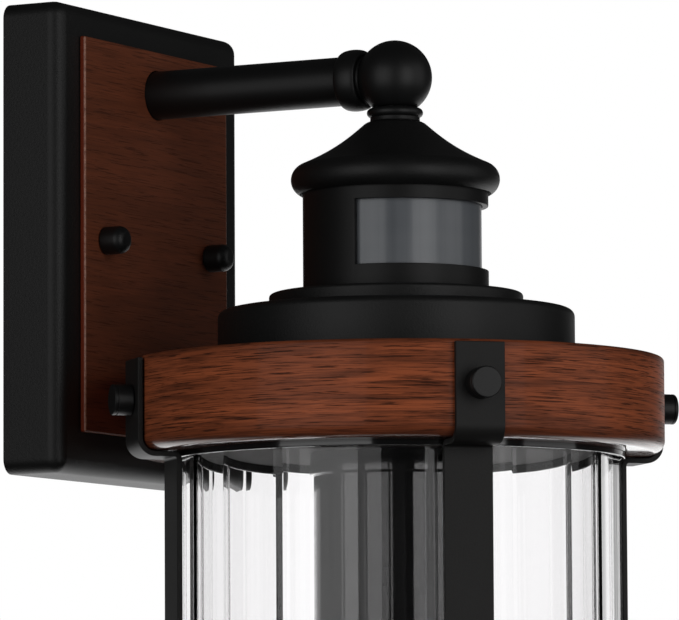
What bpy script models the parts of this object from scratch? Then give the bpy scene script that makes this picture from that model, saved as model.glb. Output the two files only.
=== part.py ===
"""Outdoor wall lantern with a motion sensor, modelled piece by piece in metres.

The wall is the plane y = 0 and the lantern stands out from it towards -Y, with +Z up.
The origin is the middle of the mounting bracket's back face, level with the two cap nuts.
"""
from math import cos, pi, radians, sin, sqrt

import bmesh
import bpy
from mathutils import Matrix, Vector

MM = 0.001
GAP = 0.3 * MM                  # left between two pieces that touch
MERGE = 0.00001                 # points closer than this become one

# Backplate
PAN_WIDTH = 122 * MM
PAN_HEIGHT = 158 * MM
PAN_DEPTH = 22 * MM
PAN_WALL = 1.5 * MM
PAN_EDGE = 5 * MM               # rounding of the pan's corners and front edges
PANEL_SIDE_MARGIN = 13 * MM     # black rim left round the wood panel
PANEL_TOP_MARGIN = 11 * MM
PANEL_FOOT_MARGIN = 14 * MM
PANEL_THICKNESS = 1.8 * MM
PANEL_EDGE = 0.8 * MM
SEAL_WIDTH = 4 * MM             # foam seal inside the pan's rim
SEAL_DEPTH = 5 * MM

# Junction-box bracket and its fasteners
BRACKET_LENGTH = 106 * MM
BRACKET_HEIGHT = 20 * MM
BRACKET_THICKNESS = 2 * MM
BRACKET_CORNER = 3 * MM
BOX_SCREW_SPACING = 88.9 * MM   # slots for a 3-1/2 in junction box
BOX_SLOT_LENGTH = 9 * MM
BOX_SLOT_WIDTH = 4.6 * MM
STUD_SPACING = 70 * MM          # 2-3/4 in between the cap nuts
STUD_DIAMETER = 4.2 * MM
STUD_GRIP = 5.5 * MM            # thread inside the cap nut
CAP_NUT_DIAMETER = 9.4 * MM
CAP_NUT_LENGTH = 8.5 * MM
CAP_NUT_ROUNDING = 3.2 * MM      # of its closed end
GROUND_SCREW_X = -18 * MM
GROUND_SCREW_HEAD = 7.5 * MM
GROUND_SCREW_HEAD_HEIGHT = 2.6 * MM
GROUND_SCREW_CHAMFER = 1 * MM
GROUND_SCREW_SHANK = 4 * MM

# Arm, ball and stem
REACH = 116 * MM                # wall to the lantern's axis
ARM_HEIGHT = 53 * MM            # arm above the pan's centre
ARM_DIAMETER = 16.5 * MM
PIPE_DIAMETER = 10 * MM         # threaded ends of the arm, and the stem
PIPE_BORE = 7 * MM
ARM_THREAD = 13 * MM            # threaded end inside the pan
LOCK_NUT_FLATS = 17 * MM
LOCK_NUT_HEIGHT = 5 * MM
WASHER_DIAMETER = 22 * MM
WASHER_THICKNESS = 1.2 * MM
COLLAR_DIAMETER = 20.8 * MM
COLLAR_LENGTH = 8 * MM
COLLAR_TO_BALL = 1 * MM
BALL_DIAMETER = 25 * MM
PIPE_IN_BALL = 4 * MM
NECK_DIAMETER = 18.8 * MM
NECK_SEAT = 2 * MM              # how far inside the neck's edge the ball meets it
NECK_HEIGHT = 4.6 * MM
LEAD_DIAMETER = 4 * MM          # two-core lead inside arm and stem
LEAD_BEND = 5.5 * MM
LEAD_BEND_STEPS = 6
LEAD_STEPS = 8

# Canopy, sensor and cap
CANOPY_RADIUS = 35 * MM
CANOPY_WALL = 1.2 * MM
CANOPY_NECK_RADIUS = 10.3 * MM
CANOPY_HEIGHT = 24.7 * MM
CANOPY_BEAD = 5.5 * MM          # half height of the rounded brim
CANOPY_STRAIGHTNESS = 0.74      # 1 would make the bell a plain cone
SENSOR_RADIUS = 31 * MM
SENSOR_WALL = 2 * MM
SENSOR_HEIGHT = 35 * MM
SENSOR_SPIGOT = 2.5 * MM        # part of the housing hidden in the canopy
WINDOW_TOP = 6.2 * MM           # below the top of the housing
WINDOW_HEIGHT = 21.6 * MM
WINDOW_HALF_ANGLE = radians(88)
LENS_WALL = 1.2 * MM
LENS_LIP = 2 * MM               # lens beyond the window's edge, all round
BOARD_WIDTH = 34 * MM
BOARD_HEIGHT = 22 * MM
BOARD_THICKNESS = 1.6 * MM
BOARD_OFFSET = 12 * MM          # board in front of the stem's axis
PIR_DIAMETER = 9.2 * MM
PIR_HEIGHT = 4.4 * MM
PHOTOCELL_DIAMETER = 5 * MM
PHOTOCELL_HEIGHT = 2.6 * MM
RELAY_SIZE = (9 * MM, 5 * MM, 12 * MM)
LEG_FOOT = 9 * MM               # L-shaped leg that carries the board
LEG_WIDTH = 6 * MM
LEG_WALL = 1.2 * MM
FLANGE_RADIUS = 42.4 * MM
FLANGE_THICKNESS = 5.3 * MM
FLANGE_EDGE = 1.2 * MM          # rounding of its upper edge
DRUM_RADIUS = 59.5 * MM
DRUM_HEIGHT = 16.8 * MM
DRUM_EDGE = 2.6 * MM
CAP_WALL = 1.2 * MM

# Wood rings, cage and glass
RING_RADIUS = 89 * MM
RING_THICKNESS = 12.9 * MM
RING_HEIGHT = 31.3 * MM
RING_OUTER_EDGE = 4 * MM        # rounding on the side where the strap turns in
RING_BACK_EDGE = 1.5 * MM
RING_REBATE = 2.7 * MM          # wood left outside the sunk brim
RINGS_OVERALL = 214 * MM        # top of the upper ring to foot of the lower one
LINER_WALL = 1.4 * MM
LINER_DROP = 1.9 * MM           # liner beyond the wood, towards the glass
LINER_LEDGE = 13 * MM
STRAP_WIDTH = 16.5 * MM
STRAP_THICKNESS = 1.8 * MM
STRAP_INSET = 1 * MM            # strap's end short of the ring's edge
STRAP_INNER_BEND = 1 * MM       # inner radius of the bend towards the glass
SCREW_INSET = 14.5 * MM         # strap screw below the ring's far edge
SCREW_HEAD_DIAMETER = 10.2 * MM
SCREW_HEAD_LENGTH = 6.5 * MM
SCREW_CHAMFER = 0.8 * MM
SCREW_SHANK = 4 * MM
GLASS_WALL = 3 * MM
GLASS_CLEARANCE = 0.6 * MM
GLASS_FACETS = 18
GLASS_TURN = radians(-2)        # the glass sits turned a little in its cage
SEAT_THICKNESS = 1.5 * MM       # rubber rings at both ends of the glass
SEAT_LEDGE = 7 * MM
PLATE_WALL = 1.2 * MM
PLATE_INSET = 0.6 * MM          # lamp plate above the ring's lower face
RIM_INSET = 1.5 * MM            # bottom rim above the lower ring's foot
PLATE_RISE = 15.5 * MM          # upturned wall of the lamp plate

# Lamp holder and bulb
TUBE_RADIUS = 29 * MM
TUBE_WALL = 1.2 * MM
TUBE_LENGTH = 66 * MM
TUBE_FLANGE = 2 * MM            # thicker band at the top of the tube
TUBE_FLANGE_HEIGHT = 7.3 * MM
HOLDER_RADIUS = 18 * MM
HOLDER_LENGTH = 50 * MM
HOLDER_HEAD = 11 * MM           # solid head that screws on the stem
HOLDER_DROP = 12 * MM           # top of the holder below the tube's top
STEM_IN_HOLDER = 7 * MM
SHELL_WALL = 0.8 * MM
SHELL_LENGTH = 34 * MM
SHELL_HOLE = 8 * MM             # radius of the hole in the shell's closed end
HOLDER_CONTACT_DIAMETER = 9 * MM
THREAD_CLEARANCE = 0.4 * MM     # between bulb base and threaded shell
BULB_BASE_RADIUS = 13 * MM
BULB_BASE_LENGTH = 24 * MM
BULB_BASE_TAPER = 1.5 * MM
BULB_BASE_DROP = 7.5 * MM       # bulb base below the closed end of the shell
BULB_CONTACT_RADIUS = 5.2 * MM
BULB_TIP_RADIUS = 3 * MM
BULB_TIP = 4.6 * MM             # contact's tip above the base
BULB_CONTACT_BAND = 2 * MM
BULB_RADIUS = 30 * MM
BULB_LENGTH = 82 * MM           # glass below the base
BULB_WALL = 1 * MM
BULB_NECK_RADIUS = 12 * MM
BULB_IN_BASE = 6 * MM           # glass neck inside the base
BULB_STEM_RADIUS = 6 * MM
BULB_POST_RADIUS = 1.5 * MM
FILAMENT_LENGTH = 34 * MM
FILAMENT_DIAMETER = 1.8 * MM
FILAMENT_CIRCLE = 7 * MM
FILAMENT_COUNT = 2

ROUND = 36                      # facets of the large round pieces
MIDDLE_ROUND = 24               # facets of the arm, ball, holder and bulb
SMALL_ROUND = 18                # facets of the small ones
TINY_ROUND = 8                  # facets of the filaments
EDGE_STEPS = 3                  # facets of a rounded edge

# Places that follow from the sizes above
BALL_AT = Vector((0, -REACH, ARM_HEIGHT))
BALL_FLAT = sqrt((BALL_DIAMETER / 2) ** 2 - (ARM_DIAMETER / 2) ** 2)
NECK_TOP = ARM_HEIGHT - sqrt((BALL_DIAMETER / 2) ** 2 - (NECK_DIAMETER / 2 - NECK_SEAT) ** 2) - GAP
CANOPY_TOP = NECK_TOP - NECK_HEIGHT - GAP
SENSOR_TOP = CANOPY_TOP - CANOPY_HEIGHT + SENSOR_SPIGOT
FLANGE_TOP = SENSOR_TOP - SENSOR_HEIGHT - GAP
CAP_TOP = FLANGE_TOP - FLANGE_THICKNESS - GAP
RING_TOP = CAP_TOP - DRUM_HEIGHT
RING_FOOT = RING_TOP - RINGS_OVERALL
RING_BORE = RING_RADIUS - RING_THICKNESS
BRIM_TOP = RING_TOP
LINER_TOP = BRIM_TOP - CAP_WALL - GAP
LINER_RADIUS = RING_BORE - GAP
LINER_FOOT = RING_TOP - RING_HEIGHT - LINER_DROP
GLASS_RADIUS = LINER_RADIUS - LINER_WALL - GLASS_CLEARANCE
PLATE_RADIUS = GLASS_RADIUS - GLASS_WALL - GLASS_CLEARANCE
PLATE_FOOT = RING_TOP - RING_HEIGHT + PLATE_INSET
PLATE_TOP = PLATE_FOOT + PLATE_RISE + PLATE_WALL
GLASS_TOP = PLATE_TOP - PLATE_WALL - SEAT_THICKNESS - 2 * GAP
RIM_FOOT = RING_FOOT + RIM_INSET
GLASS_FOOT = RIM_FOOT + PLATE_WALL + SEAT_THICKNESS + 2 * GAP
TUBE_TOP = PLATE_FOOT - GAP
HOLDER_TOP = TUBE_TOP - HOLDER_DROP
STEM_FOOT = HOLDER_TOP - STEM_IN_HOLDER
SHELL_RADIUS = BULB_BASE_RADIUS + THREAD_CLEARANCE + SHELL_WALL
SHELL_TOP = HOLDER_TOP - HOLDER_HEAD - GAP
BULB_BASE_TOP = SHELL_TOP - BULB_BASE_DROP
BULB_NECK_TOP = BULB_BASE_TOP - BULB_BASE_LENGTH
PANEL_FRONT = PAN_DEPTH + GAP + PANEL_THICKNESS
STRAP_ANGLES = (("front_left", -45), ("front_right", 45), ("rear_left", -135), ("rear_right", 135))


# ---------------------------------------------------------------- making shapes

def place(name, shape, at=(0, 0, 0), turn=(0, 0, 0)):
    """Make an object of a bmesh and put it in the scene."""
    bmesh.ops.recalc_face_normals(shape, faces=shape.faces)
    mesh = bpy.data.meshes.new(name)
    shape.to_mesh(mesh)
    shape.free()
    piece = bpy.data.objects.new(name, mesh)
    bpy.context.scene.collection.objects.link(piece)
    piece.location = at
    piece.rotation_euler = turn
    return piece


def soften(piece, angle=35):
    """Shade a round piece smooth, with its real edges left sharp."""
    piece.data.shade_smooth()
    piece.data.set_sharp_from_angle(angle=radians(angle))
    return piece


def finish(piece, colour, roughness, metallic=0.0, transmission=0.0):
    """Give a piece its own material."""
    material = bpy.data.materials.new(piece.name + "_finish")
    material.use_nodes = True
    surface = material.node_tree.nodes["Principled BSDF"]
    surface.inputs["Base Color"].default_value = (*colour, 1)
    surface.inputs["Roughness"].default_value = roughness
    surface.inputs["Metallic"].default_value = metallic
    surface.inputs["Transmission Weight"].default_value = transmission
    material.diffuse_color = (*colour, 1)
    piece.data.materials.append(material)
    return piece


def black(piece):
    return finish(piece, (0.014, 0.014, 0.015), 0.45)


def zinc(piece):
    return finish(piece, (0.55, 0.55, 0.53), 0.35, 1.0)


def brass(piece):
    return finish(piece, (0.6, 0.42, 0.16), 0.3, 1.0)


def wood(piece):
    return finish(piece, (0.14, 0.045, 0.02), 0.3)


def rubber(piece):
    return finish(piece, (0.02, 0.02, 0.02), 0.8)


def arc(centre, radius, start, end, steps=EDGE_STEPS):
    """Points on an arc in the (radius, height) plane, angles in degrees from the outward side."""
    turns = [radians(start + (end - start) * i / steps) for i in range(steps + 1)]
    return [(centre[0] + radius * cos(t), centre[1] + radius * sin(t)) for t in turns]


def turned(name, outline, at=(0, -REACH, 0), turn=(0, 0, 0), steps=ROUND):
    """Spin an outline of (radius, height) points; one that starts and ends on the axis stays open."""
    shape = bmesh.new()
    points = [shape.verts.new((radius, 0, height)) for radius, height in outline]
    on_axis = outline[0][0] == 0 and outline[-1][0] == 0
    pairs = list(zip(points, points[1:]))
    if not on_axis:
        pairs.append((points[-1], points[0]))
    edges = [shape.edges.new(pair) for pair in pairs]
    bmesh.ops.spin(shape, geom=points + edges, cent=(0, 0, 0), axis=(0, 0, 1),
                   angle=2 * pi, steps=steps)
    bmesh.ops.remove_doubles(shape, verts=shape.verts, dist=MERGE)
    return soften(place(name, shape, at, turn))


def sector(name, outline, half_angle, at, steps):
    """Spin an outline part of the way round, centred on the front (-Y), with closed ends."""
    shape = bmesh.new()
    start = Matrix.Rotation(-half_angle - pi / 2, 3, "Z")
    points = [shape.verts.new(start @ Vector((radius, 0, height))) for radius, height in outline]
    face = shape.faces.new(points)
    bmesh.ops.spin(shape, geom=[face] + face.edges[:] + points, cent=(0, 0, 0), axis=(0, 0, 1),
                   angle=2 * half_angle, steps=steps)
    return soften(place(name, shape, at))


def prism(name, corners, height, at=(0, 0, 0), turn=(0, 0, 0)):
    """Raise a flat outline of (x, y) corners by a height along its own Z."""
    shape = bmesh.new()
    face = shape.faces.new([shape.verts.new((x, y, 0)) for x, y in corners])
    raised = bmesh.ops.extrude_face_region(shape, geom=[face])
    tops = [item for item in raised["geom"] if isinstance(item, bmesh.types.BMVert)]
    bmesh.ops.translate(shape, verts=tops, vec=(0, 0, height))
    return place(name, shape, at, turn)


def block(name, size, at, turn=(0, 0, 0)):
    """A plain block, centred at a point."""
    shape = bmesh.new()
    bmesh.ops.create_cube(shape, size=1, matrix=Matrix.Diagonal((*size, 1)))
    return place(name, shape, at, turn)


def rod_outline(diameter, foot, top):
    return [(0, foot), (diameter / 2, foot), (diameter / 2, top), (0, top)]


def tube_outline(outer, inner, foot, top):
    return [(inner, foot), (outer, foot), (outer, top), (inner, top)]


def polygon(flats, sides=6):
    """Corners of a regular polygon with a given width across its flats."""
    radius = flats / 2 / cos(pi / sides)
    return [(radius * cos(2 * pi * i / sides), radius * sin(2 * pi * i / sides)) for i in range(sides)]


def slot_outline(length, width, steps=4):
    """A round-ended slot along X."""
    right = arc(((length - width) / 2, 0), width / 2, -90, 90, steps)
    left = arc((-(length - width) / 2, 0), width / 2, 90, 270, steps)
    return right + left


OUTWARD = (pi / 2, 0, 0)        # turns a piece's own Z to point out from the wall


def cut(piece, *cutters):
    """Take cutters out of a piece; they stay in the scene as wires."""
    for cutter in cutters:
        cutter.hide_render = True
        cutter.display_type = "WIRE"
        boolean = piece.modifiers.new("cut " + cutter.name, "BOOLEAN")
        boolean.operation = "DIFFERENCE"
        boolean.solver = "EXACT"
        boolean.object = cutter
    return piece


def out_drill(name, diameter, x, z, start, end):
    """A drill that runs out from the wall, from one distance to another."""
    return turned(name, rod_outline(diameter, start, end), (x, 0, z), OUTWARD, SMALL_ROUND)


def axis_drill(name, diameter, foot, top):
    """A drill down the lantern's axis."""
    return turned(name, rod_outline(diameter, foot, top), steps=SMALL_ROUND)


def hex_nut(name, flats, bore, height, at, turn=(0, 0, 0)):
    nut = prism(name, polygon(flats), height, at, turn)
    drill = turned(name + "_bore", rod_outline(bore, -height, 2 * height), at, turn, SMALL_ROUND)
    return zinc(cut(nut, drill))


# ---------------------------------------------------------------- backplate

def rounded_box(name, width, height, depth, edge, back_open):
    """A box against the wall with rounded corners and front edges; its back can be left open."""
    shape = bmesh.new()
    size = Matrix.Diagonal((width, depth, height, 1))
    bmesh.ops.create_cube(shape, size=1, matrix=Matrix.Translation((0, -depth / 2, 0)) @ size)
    back = [face for face in shape.faces if face.normal.y > 0.5]
    kept = set(back[0].edges)
    rounded = [e for e in shape.edges if e not in kept]
    bmesh.ops.bevel(shape, geom=rounded, offset=edge, segments=EDGE_STEPS, profile=0.5,
                    affect="EDGES")
    if back_open:
        back = [face for face in shape.faces if face.normal.y > 0.99]
        bmesh.ops.delete(shape, geom=back, context="FACES")
    return place(name, shape)


def back_pan():
    """Pressed steel pan, open at the back, with holes for the arm and the studs."""
    pan = rounded_box("back_pan", PAN_WIDTH, PAN_HEIGHT, PAN_DEPTH, PAN_EDGE, True)
    wall = pan.modifiers.new("wall", "SOLIDIFY")
    wall.thickness = PAN_WALL
    wall.offset = -1
    wall.use_even_offset = True
    soften(pan)
    arm = out_drill("pan_arm_hole", PIPE_DIAMETER + 2 * GAP, 0, ARM_HEIGHT,
                    PAN_DEPTH - 2 * PAN_WALL, PAN_DEPTH + PAN_WALL)
    studs = [out_drill("pan_stud_hole_" + side, STUD_DIAMETER + 2 * GAP, x, 0,
                       PAN_DEPTH - 2 * PAN_WALL, PAN_DEPTH + PAN_WALL)
             for side, x in stud_places()]
    black(cut(pan, arm, *studs))


def stud_places():
    return ("left", -STUD_SPACING / 2), ("right", STUD_SPACING / 2)


def wood_panel():
    """Wood board on the pan's face, inside a black rim."""
    width = PAN_WIDTH - 2 * PANEL_SIDE_MARGIN
    height = PAN_HEIGHT - PANEL_TOP_MARGIN - PANEL_FOOT_MARGIN
    panel = rounded_box("wood_panel", width, height, PANEL_THICKNESS, PANEL_EDGE, False)
    panel.location.y = -PAN_DEPTH - GAP
    panel.location.z = (PANEL_FOOT_MARGIN - PANEL_TOP_MARGIN) / 2
    soften(panel)
    start = PAN_DEPTH - PANEL_THICKNESS
    end = PANEL_FRONT + PANEL_THICKNESS
    arm = out_drill("panel_arm_hole", ARM_DIAMETER + 2 * GAP, 0, ARM_HEIGHT, start, end)
    studs = [out_drill("panel_stud_hole_" + side, STUD_DIAMETER + 2 * GAP, x, 0, start, end)
             for side, x in stud_places()]
    wood(cut(panel, arm, *studs))


def wall_seal():
    """Foam seal inside the pan's rim, against the wall."""
    width = PAN_WIDTH - 2 * PAN_WALL - 2 * GAP
    height = PAN_HEIGHT - 2 * PAN_WALL - 2 * GAP
    corner = PAN_EDGE - PAN_WALL
    outer = rounded_frame(width, height, corner)
    seal = prism("wall_seal", outer, SEAL_DEPTH, turn=OUTWARD)
    inner = [(x * (1 - 2 * SEAL_WIDTH / width), y * (1 - 2 * SEAL_WIDTH / height)) for x, y in outer]
    opening = prism("wall_seal_opening", inner, 3 * SEAL_DEPTH, (0, SEAL_DEPTH, 0), OUTWARD)
    rubber(cut(seal, opening))


def rounded_frame(width, height, corner):
    """Corners of a rectangle with rounded ends, counter-clockwise."""
    points = []
    for x, y, start in ((1, 1, 0), (-1, 1, 90), (-1, -1, 180), (1, -1, 270)):
        centre = (x * (width / 2 - corner), y * (height / 2 - corner))
        points += arc(centre, corner, start, start + 90)
    return points


def bracket():
    """Steel crossbar screwed to the junction box, with its studs, nuts and earth screw."""
    bar = prism("mounting_bracket", rounded_frame(BRACKET_LENGTH, BRACKET_HEIGHT, BRACKET_CORNER),
                BRACKET_THICKNESS, turn=OUTWARD)
    outline = slot_outline(BOX_SLOT_LENGTH, BOX_SLOT_WIDTH)
    holes = [prism("box_slot_" + side, outline, 3 * BRACKET_THICKNESS,
                   (sign * BOX_SCREW_SPACING / 2, BRACKET_THICKNESS, 0), OUTWARD)
             for side, sign in (("left", -1), ("right", 1))]
    holes += [out_drill("bracket_stud_hole_" + side, STUD_DIAMETER + 2 * GAP, x, 0,
                        -BRACKET_THICKNESS, 2 * BRACKET_THICKNESS)
              for side, x in stud_places()]
    holes.append(out_drill("bracket_earth_hole", GROUND_SCREW_SHANK + 2 * GAP, GROUND_SCREW_X, 0,
                           -BRACKET_THICKNESS, 2 * BRACKET_THICKNESS))
    zinc(cut(bar, *holes))

    for side, x in stud_places():
        stud_end = PANEL_FRONT + GAP + STUD_GRIP
        stud = turned("mounting_stud_" + side, rod_outline(STUD_DIAMETER, GAP, stud_end),
                      (x, 0, 0), OUTWARD, SMALL_ROUND)
        zinc(stud)
        cap_nut(side, x)

    head = GROUND_SCREW_HEAD / 2
    foot = BRACKET_THICKNESS + GAP
    top = foot + GROUND_SCREW_HEAD_HEIGHT
    outline = [(0, GAP), (GROUND_SCREW_SHANK / 2, GAP), (GROUND_SCREW_SHANK / 2, foot),
               (head, foot), (head, top - GROUND_SCREW_CHAMFER), (head - GROUND_SCREW_CHAMFER, top),
               (0, top)]
    screw = turned("ground_screw", outline, (GROUND_SCREW_X, 0, 0), OUTWARD, SMALL_ROUND)
    finish(screw, (0.04, 0.22, 0.07), 0.4, 1.0)


def cap_nut(side, x):
    """Round-ended nut that clamps the pan to the bracket; it turns on its stud."""
    radius = CAP_NUT_DIAMETER / 2
    foot = PANEL_FRONT + GAP
    top = foot + CAP_NUT_LENGTH
    bore = STUD_DIAMETER / 2 + GAP
    dome = arc((radius - CAP_NUT_ROUNDING, top - CAP_NUT_ROUNDING), CAP_NUT_ROUNDING, 0, 90, 5) + [(0, top)]
    outline = [(0, foot + STUD_GRIP + GAP), (bore, foot + STUD_GRIP + GAP), (bore, foot), (radius, foot)]
    nut = turned("cap_nut_" + side, outline + dome, (x, 0, 0), OUTWARD, SMALL_ROUND)
    black(nut)


# ---------------------------------------------------------------- arm, ball and stem

def arm():
    """Tube with a threaded end at each side: one through the pan, one in the ball."""
    tube = ARM_DIAMETER / 2
    pipe = PIPE_DIAMETER / 2
    bore = PIPE_BORE / 2
    shoulder = PAN_DEPTH + GAP
    end = REACH - BALL_FLAT - GAP
    outline = [(bore, shoulder - ARM_THREAD), (pipe, shoulder - ARM_THREAD), (pipe, shoulder),
               (tube, shoulder), (tube, end), (pipe, end), (pipe, end + PIPE_IN_BALL),
               (bore, end + PIPE_IN_BALL)]
    at = (0, 0, ARM_HEIGHT)
    black(turned("arm_tube", outline, at, OUTWARD, MIDDLE_ROUND))

    inside = PAN_DEPTH - PAN_WALL - GAP
    washer = tube_outline(WASHER_DIAMETER / 2, pipe + GAP, inside - WASHER_THICKNESS, inside)
    zinc(turned("arm_washer", washer, at, OUTWARD, SMALL_ROUND))
    nut_at = (0, -(inside - WASHER_THICKNESS - GAP - LOCK_NUT_HEIGHT), ARM_HEIGHT)
    hex_nut("arm_lock_nut", LOCK_NUT_FLATS, PIPE_DIAMETER + 2 * GAP, LOCK_NUT_HEIGHT, nut_at, OUTWARD)

    ball_side = end - COLLAR_TO_BALL
    middle = ball_side - COLLAR_LENGTH / 2
    hole = tube + GAP
    rise = COLLAR_DIAMETER / 2 - hole
    crown = [(hole + rise * cos(radians(a)) ** 0.5, middle + COLLAR_LENGTH / 2 * sin(radians(a)))
             for a in (-70, -40, 0, 40, 70)]
    bead = [(hole, middle - COLLAR_LENGTH / 2)] + crown + [(hole, middle + COLLAR_LENGTH / 2)]
    black(turned("arm_collar", bead, at, OUTWARD, MIDDLE_ROUND))


def ball():
    """Turned ball that joins the arm to the stem, drilled from the side and from below."""
    radius = BALL_DIAMETER / 2
    outline = [(0, -radius)] + arc((0, 0), radius, -78, 78, 10) + [(0, radius)]
    piece = turned("ball_hub", outline, BALL_AT, steps=MIDDLE_ROUND)
    flat = block("ball_arm_flat", (BALL_DIAMETER, BALL_DIAMETER, BALL_DIAMETER),
                 BALL_AT + Vector((0, BALL_FLAT + radius, 0)))
    base = block("ball_neck_flat", (BALL_DIAMETER, BALL_DIAMETER, BALL_DIAMETER),
                 (0, -REACH, NECK_TOP + GAP - radius))
    side = out_drill("ball_side_bore", PIPE_DIAMETER + 2 * GAP, 0, ARM_HEIGHT,
                     REACH - BALL_DIAMETER, REACH)
    below = axis_drill("ball_lower_bore", PIPE_DIAMETER + 2 * GAP,
                       ARM_HEIGHT - BALL_DIAMETER, ARM_HEIGHT)
    black(cut(piece, flat, base, side, below))


def stem():
    """Threaded pipe from the ball down through every piece of the head, and its nuts."""
    top = ARM_HEIGHT - PIPE_DIAMETER / 2 - 2 * GAP
    pipe = tube_outline(PIPE_DIAMETER / 2, PIPE_BORE / 2, STEM_FOOT, top)
    zinc(turned("stem_pipe", pipe, steps=SMALL_ROUND))

    radius = NECK_DIAMETER / 2
    bore = PIPE_DIAMETER / 2 + GAP
    foot = NECK_TOP - NECK_HEIGHT
    outer = arc((radius - NECK_HEIGHT / 2, foot + NECK_HEIGHT / 2), NECK_HEIGHT / 2, -90, 90, 4)
    black(turned("neck_ring", [(bore, foot)] + outer + [(bore, NECK_TOP)], steps=MIDDLE_ROUND))

    bore = PIPE_DIAMETER + 2 * GAP
    for name, nut_top in (("cap_lock_nut", CAP_TOP - CAP_WALL - GAP),
                          ("plate_nut", PLATE_FOOT + PLATE_WALL + GAP + LOCK_NUT_HEIGHT),
                          ("tube_nut", TUBE_TOP - TUBE_WALL - GAP)):
        hex_nut(name, LOCK_NUT_FLATS, bore, LOCK_NUT_HEIGHT, (0, -REACH, nut_top - LOCK_NUT_HEIGHT))


def lead():
    """Two-core lead from the pan through the arm, the ball and the stem to the lamp holder."""
    start = Vector((0, -(PAN_DEPTH - ARM_THREAD), ARM_HEIGHT))
    bend = Vector((0, -REACH + LEAD_BEND, ARM_HEIGHT))
    points = [start.lerp(bend, i / LEAD_STEPS) for i in range(LEAD_STEPS)]
    for step in range(LEAD_BEND_STEPS):
        angle = pi / 2 * step / LEAD_BEND_STEPS
        points.append(bend + LEAD_BEND * Vector((0, -sin(angle), cos(angle) - 1)))
    top = Vector((0, -REACH, ARM_HEIGHT - LEAD_BEND))
    foot = Vector((0, -REACH, STEM_FOOT + GAP))
    points += [top.lerp(foot, i / LEAD_STEPS) for i in range(LEAD_STEPS + 1)]
    curve = bpy.data.curves.new("supply_lead", "CURVE")
    curve.dimensions = "3D"
    curve.bevel_depth = LEAD_DIAMETER / 2
    curve.bevel_resolution = 2
    curve.use_fill_caps = True
    line = curve.splines.new("POLY")
    line.points.add(len(points) - 1)
    for point, at in zip(line.points, points):
        point.co = (*at, 1)
    piece = bpy.data.objects.new("supply_lead", curve)
    bpy.context.scene.collection.objects.link(piece)
    finish(piece, (0.03, 0.03, 0.03), 0.6)


# ---------------------------------------------------------------- canopy and sensor

def canopy():
    """Spun bell that covers the top of the sensor, with a rounded brim."""
    foot = CANOPY_TOP - CANOPY_HEIGHT
    brim = (CANOPY_RADIUS - CANOPY_BEAD, foot + CANOPY_BEAD)
    lip = arc(brim, CANOPY_BEAD, 70, -62, 5)
    inner_lip = arc(brim, CANOPY_BEAD - CANOPY_WALL, 70, -62, 5)
    spread = lip[0][0] - CANOPY_NECK_RADIUS
    drop = CANOPY_TOP - lip[0][1]
    flare = []
    for t in (0, 0.2, 0.4, 0.6, 0.8):
        bend = CANOPY_STRAIGHTNESS * t + (1 - CANOPY_STRAIGHTNESS) * t ** 3
        flare.append((CANOPY_NECK_RADIUS + spread * bend, CANOPY_TOP - drop * t))
    outer = flare + lip
    bore = PIPE_DIAMETER / 2 + GAP
    inner = [(max(bore, r - CANOPY_WALL), z - CANOPY_WALL) for r, z in flare]
    outline = [(bore, CANOPY_TOP)] + outer + inner_lip[::-1] + inner[:0:-1]
    outline.append((bore, CANOPY_TOP - CANOPY_WALL))
    black(turned("canopy", outline))


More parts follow.
